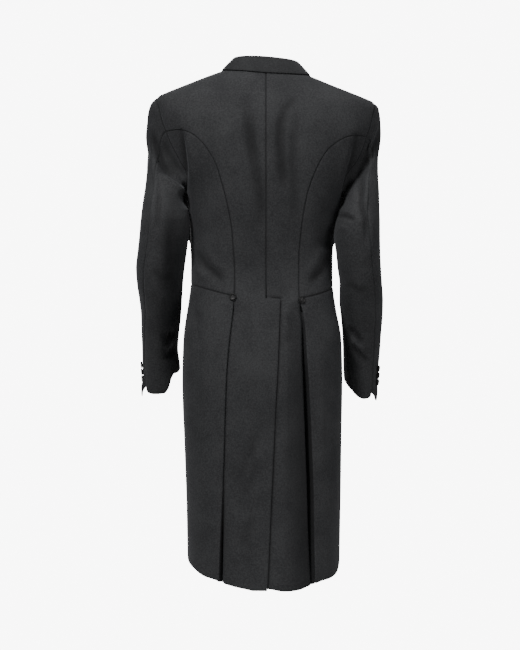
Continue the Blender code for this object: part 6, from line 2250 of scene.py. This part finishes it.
@dataclass
class Studio:
    """Pale floor, soft light from the upper left and the camera behind the coat.

    Each light has its name, place, width and power.
    """

    floor_height: float = -1.62
    floor_radius: float = 2.1
    floor_sides: int = 128
    floor_rings: int = 8
    floor_colour: Triple = (0.80, 0.80, 0.80)
    floor_roughness: float = 0.9
    sky_seen: float = 8.5
    sky_light: float = 0.12
    target: Triple = (0.0, 0.0, -0.45)
    lens: float = 109.72
    sensor: float = 36.0
    lights: tuple[tuple[str, Triple, float, float], ...] = (
        ("key_light", (-1.7, -2.6, 2.8), 1.0, 192.0),
        ("fill_light", (2.6, -2.6, 0.6), 1.4, 44.0),
        ("top_light", (0.5, -0.4, 2.4), 1.4, 20.0),
        ("far_light", (-0.6, 3.2, 0.6), 2.2, 60.0),
    )

    def build(self) -> None:
        """Makes the floor, the light and the camera."""
        self.make_floor()
        self.make_sky()
        for name, place, size, power in self.lights:
            self.make_light(name, place, size, power)
        self.make_camera()
        log.info("studio: %d lights", len(self.lights))

    def make_floor(self) -> None:
        """A pale round floor."""
        swing = np.linspace(0, -math.tau, self.floor_sides, endpoint=False)
        ring = np.stack([np.cos(swing), np.sin(swing), np.zeros_like(swing)], -1)
        foot = np.array((0.0, 0.0, self.floor_height))
        reaches = np.linspace(0.0, self.floor_radius, self.floor_rings)
        made = mesh_object("floor", *lofted([foot + ring * reach for reach in reaches]))
        bench = NodeBench("pale_floor")
        finish = {"Base Color": (*self.floor_colour, 1.0), "Roughness": self.floor_roughness}
        bench.feed(bench.shader, finish)
        made.data.materials.append(bench.material)

    def make_sky(self) -> None:
        """A plain bright surround that lights the coat less than it shows."""
        world = bpy.data.worlds.new("surround")
        bpy.context.scene.world = world
        world.use_nodes = True
        tree = world.node_tree
        ground = tree.nodes["Background"]
        ground.inputs["Color"].default_value = (1.0, 1.0, 1.0, 1.0)
        path, power = tree.nodes.new("ShaderNodeLightPath"), tree.nodes.new("ShaderNodeMapRange")
        power.inputs["To Min"].default_value = self.sky_light
        power.inputs["To Max"].default_value = self.sky_seen
        tree.links.new(path.outputs["Is Camera Ray"], power.inputs["Value"])
        tree.links.new(power.outputs["Result"], ground.inputs["Strength"])

    def make_light(self, name: str, place: Triple, size: float, power: float) -> None:
        """A large soft light aimed at the coat.

        Args:
            name: name of the light.
            place: where it stands.
            size: how wide it is.
            power: its power in watts.
        """
        lamp = bpy.data.lights.new(name, "AREA")
        lamp.shape, lamp.size, lamp.energy = "DISK", size, power
        made = bpy.data.objects.new(name, lamp)
        made.location = place
        made.rotation_euler = (Vector(self.target) - Vector(place)).to_track_quat("-Z", "Y").to_euler()
        bpy.context.scene.collection.objects.link(made)

    def make_camera(self) -> None:
        """The camera, level and straight behind the coat."""
        eye = bpy.data.cameras.new("camera")
        eye.sensor_fit, eye.sensor_height, eye.lens = "VERTICAL", self.sensor, self.lens
        made = bpy.data.objects.new("camera", eye)
        made.location, made.rotation_euler = (EYE_X, -EYE_DISTANCE, EYE_Z), (math.pi / 2, 0.0, 0.0)
        bpy.context.scene.collection.objects.link(made)
        bpy.context.scene.camera = made


def main() -> None:
    """Builds the coat, its buttons and the studio."""
    finishes = Finishes(WoolFinish().make(), HornFinish().make(), ThreadFinish().make())
    chart = CoatChart(BodyForm())
    sleeves = []
    for side in Side:
        seams = SeamLines(chart, side)
        for kind in (Back, SideBody, Forepart, Skirt, Lapel):
            kind(chart, seams, finishes).build()
        sleeves.append(Sleeve(chart, seams, finishes))
        sleeves[-1].build()
    Collar(chart, seams, finishes).build()
    Buttons(chart, finishes).build(sleeves)
    Studio().build()
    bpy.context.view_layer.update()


if __name__ == "__main__":
    logging.basicConfig(level=logging.INFO, format="%(message)s")
    main()
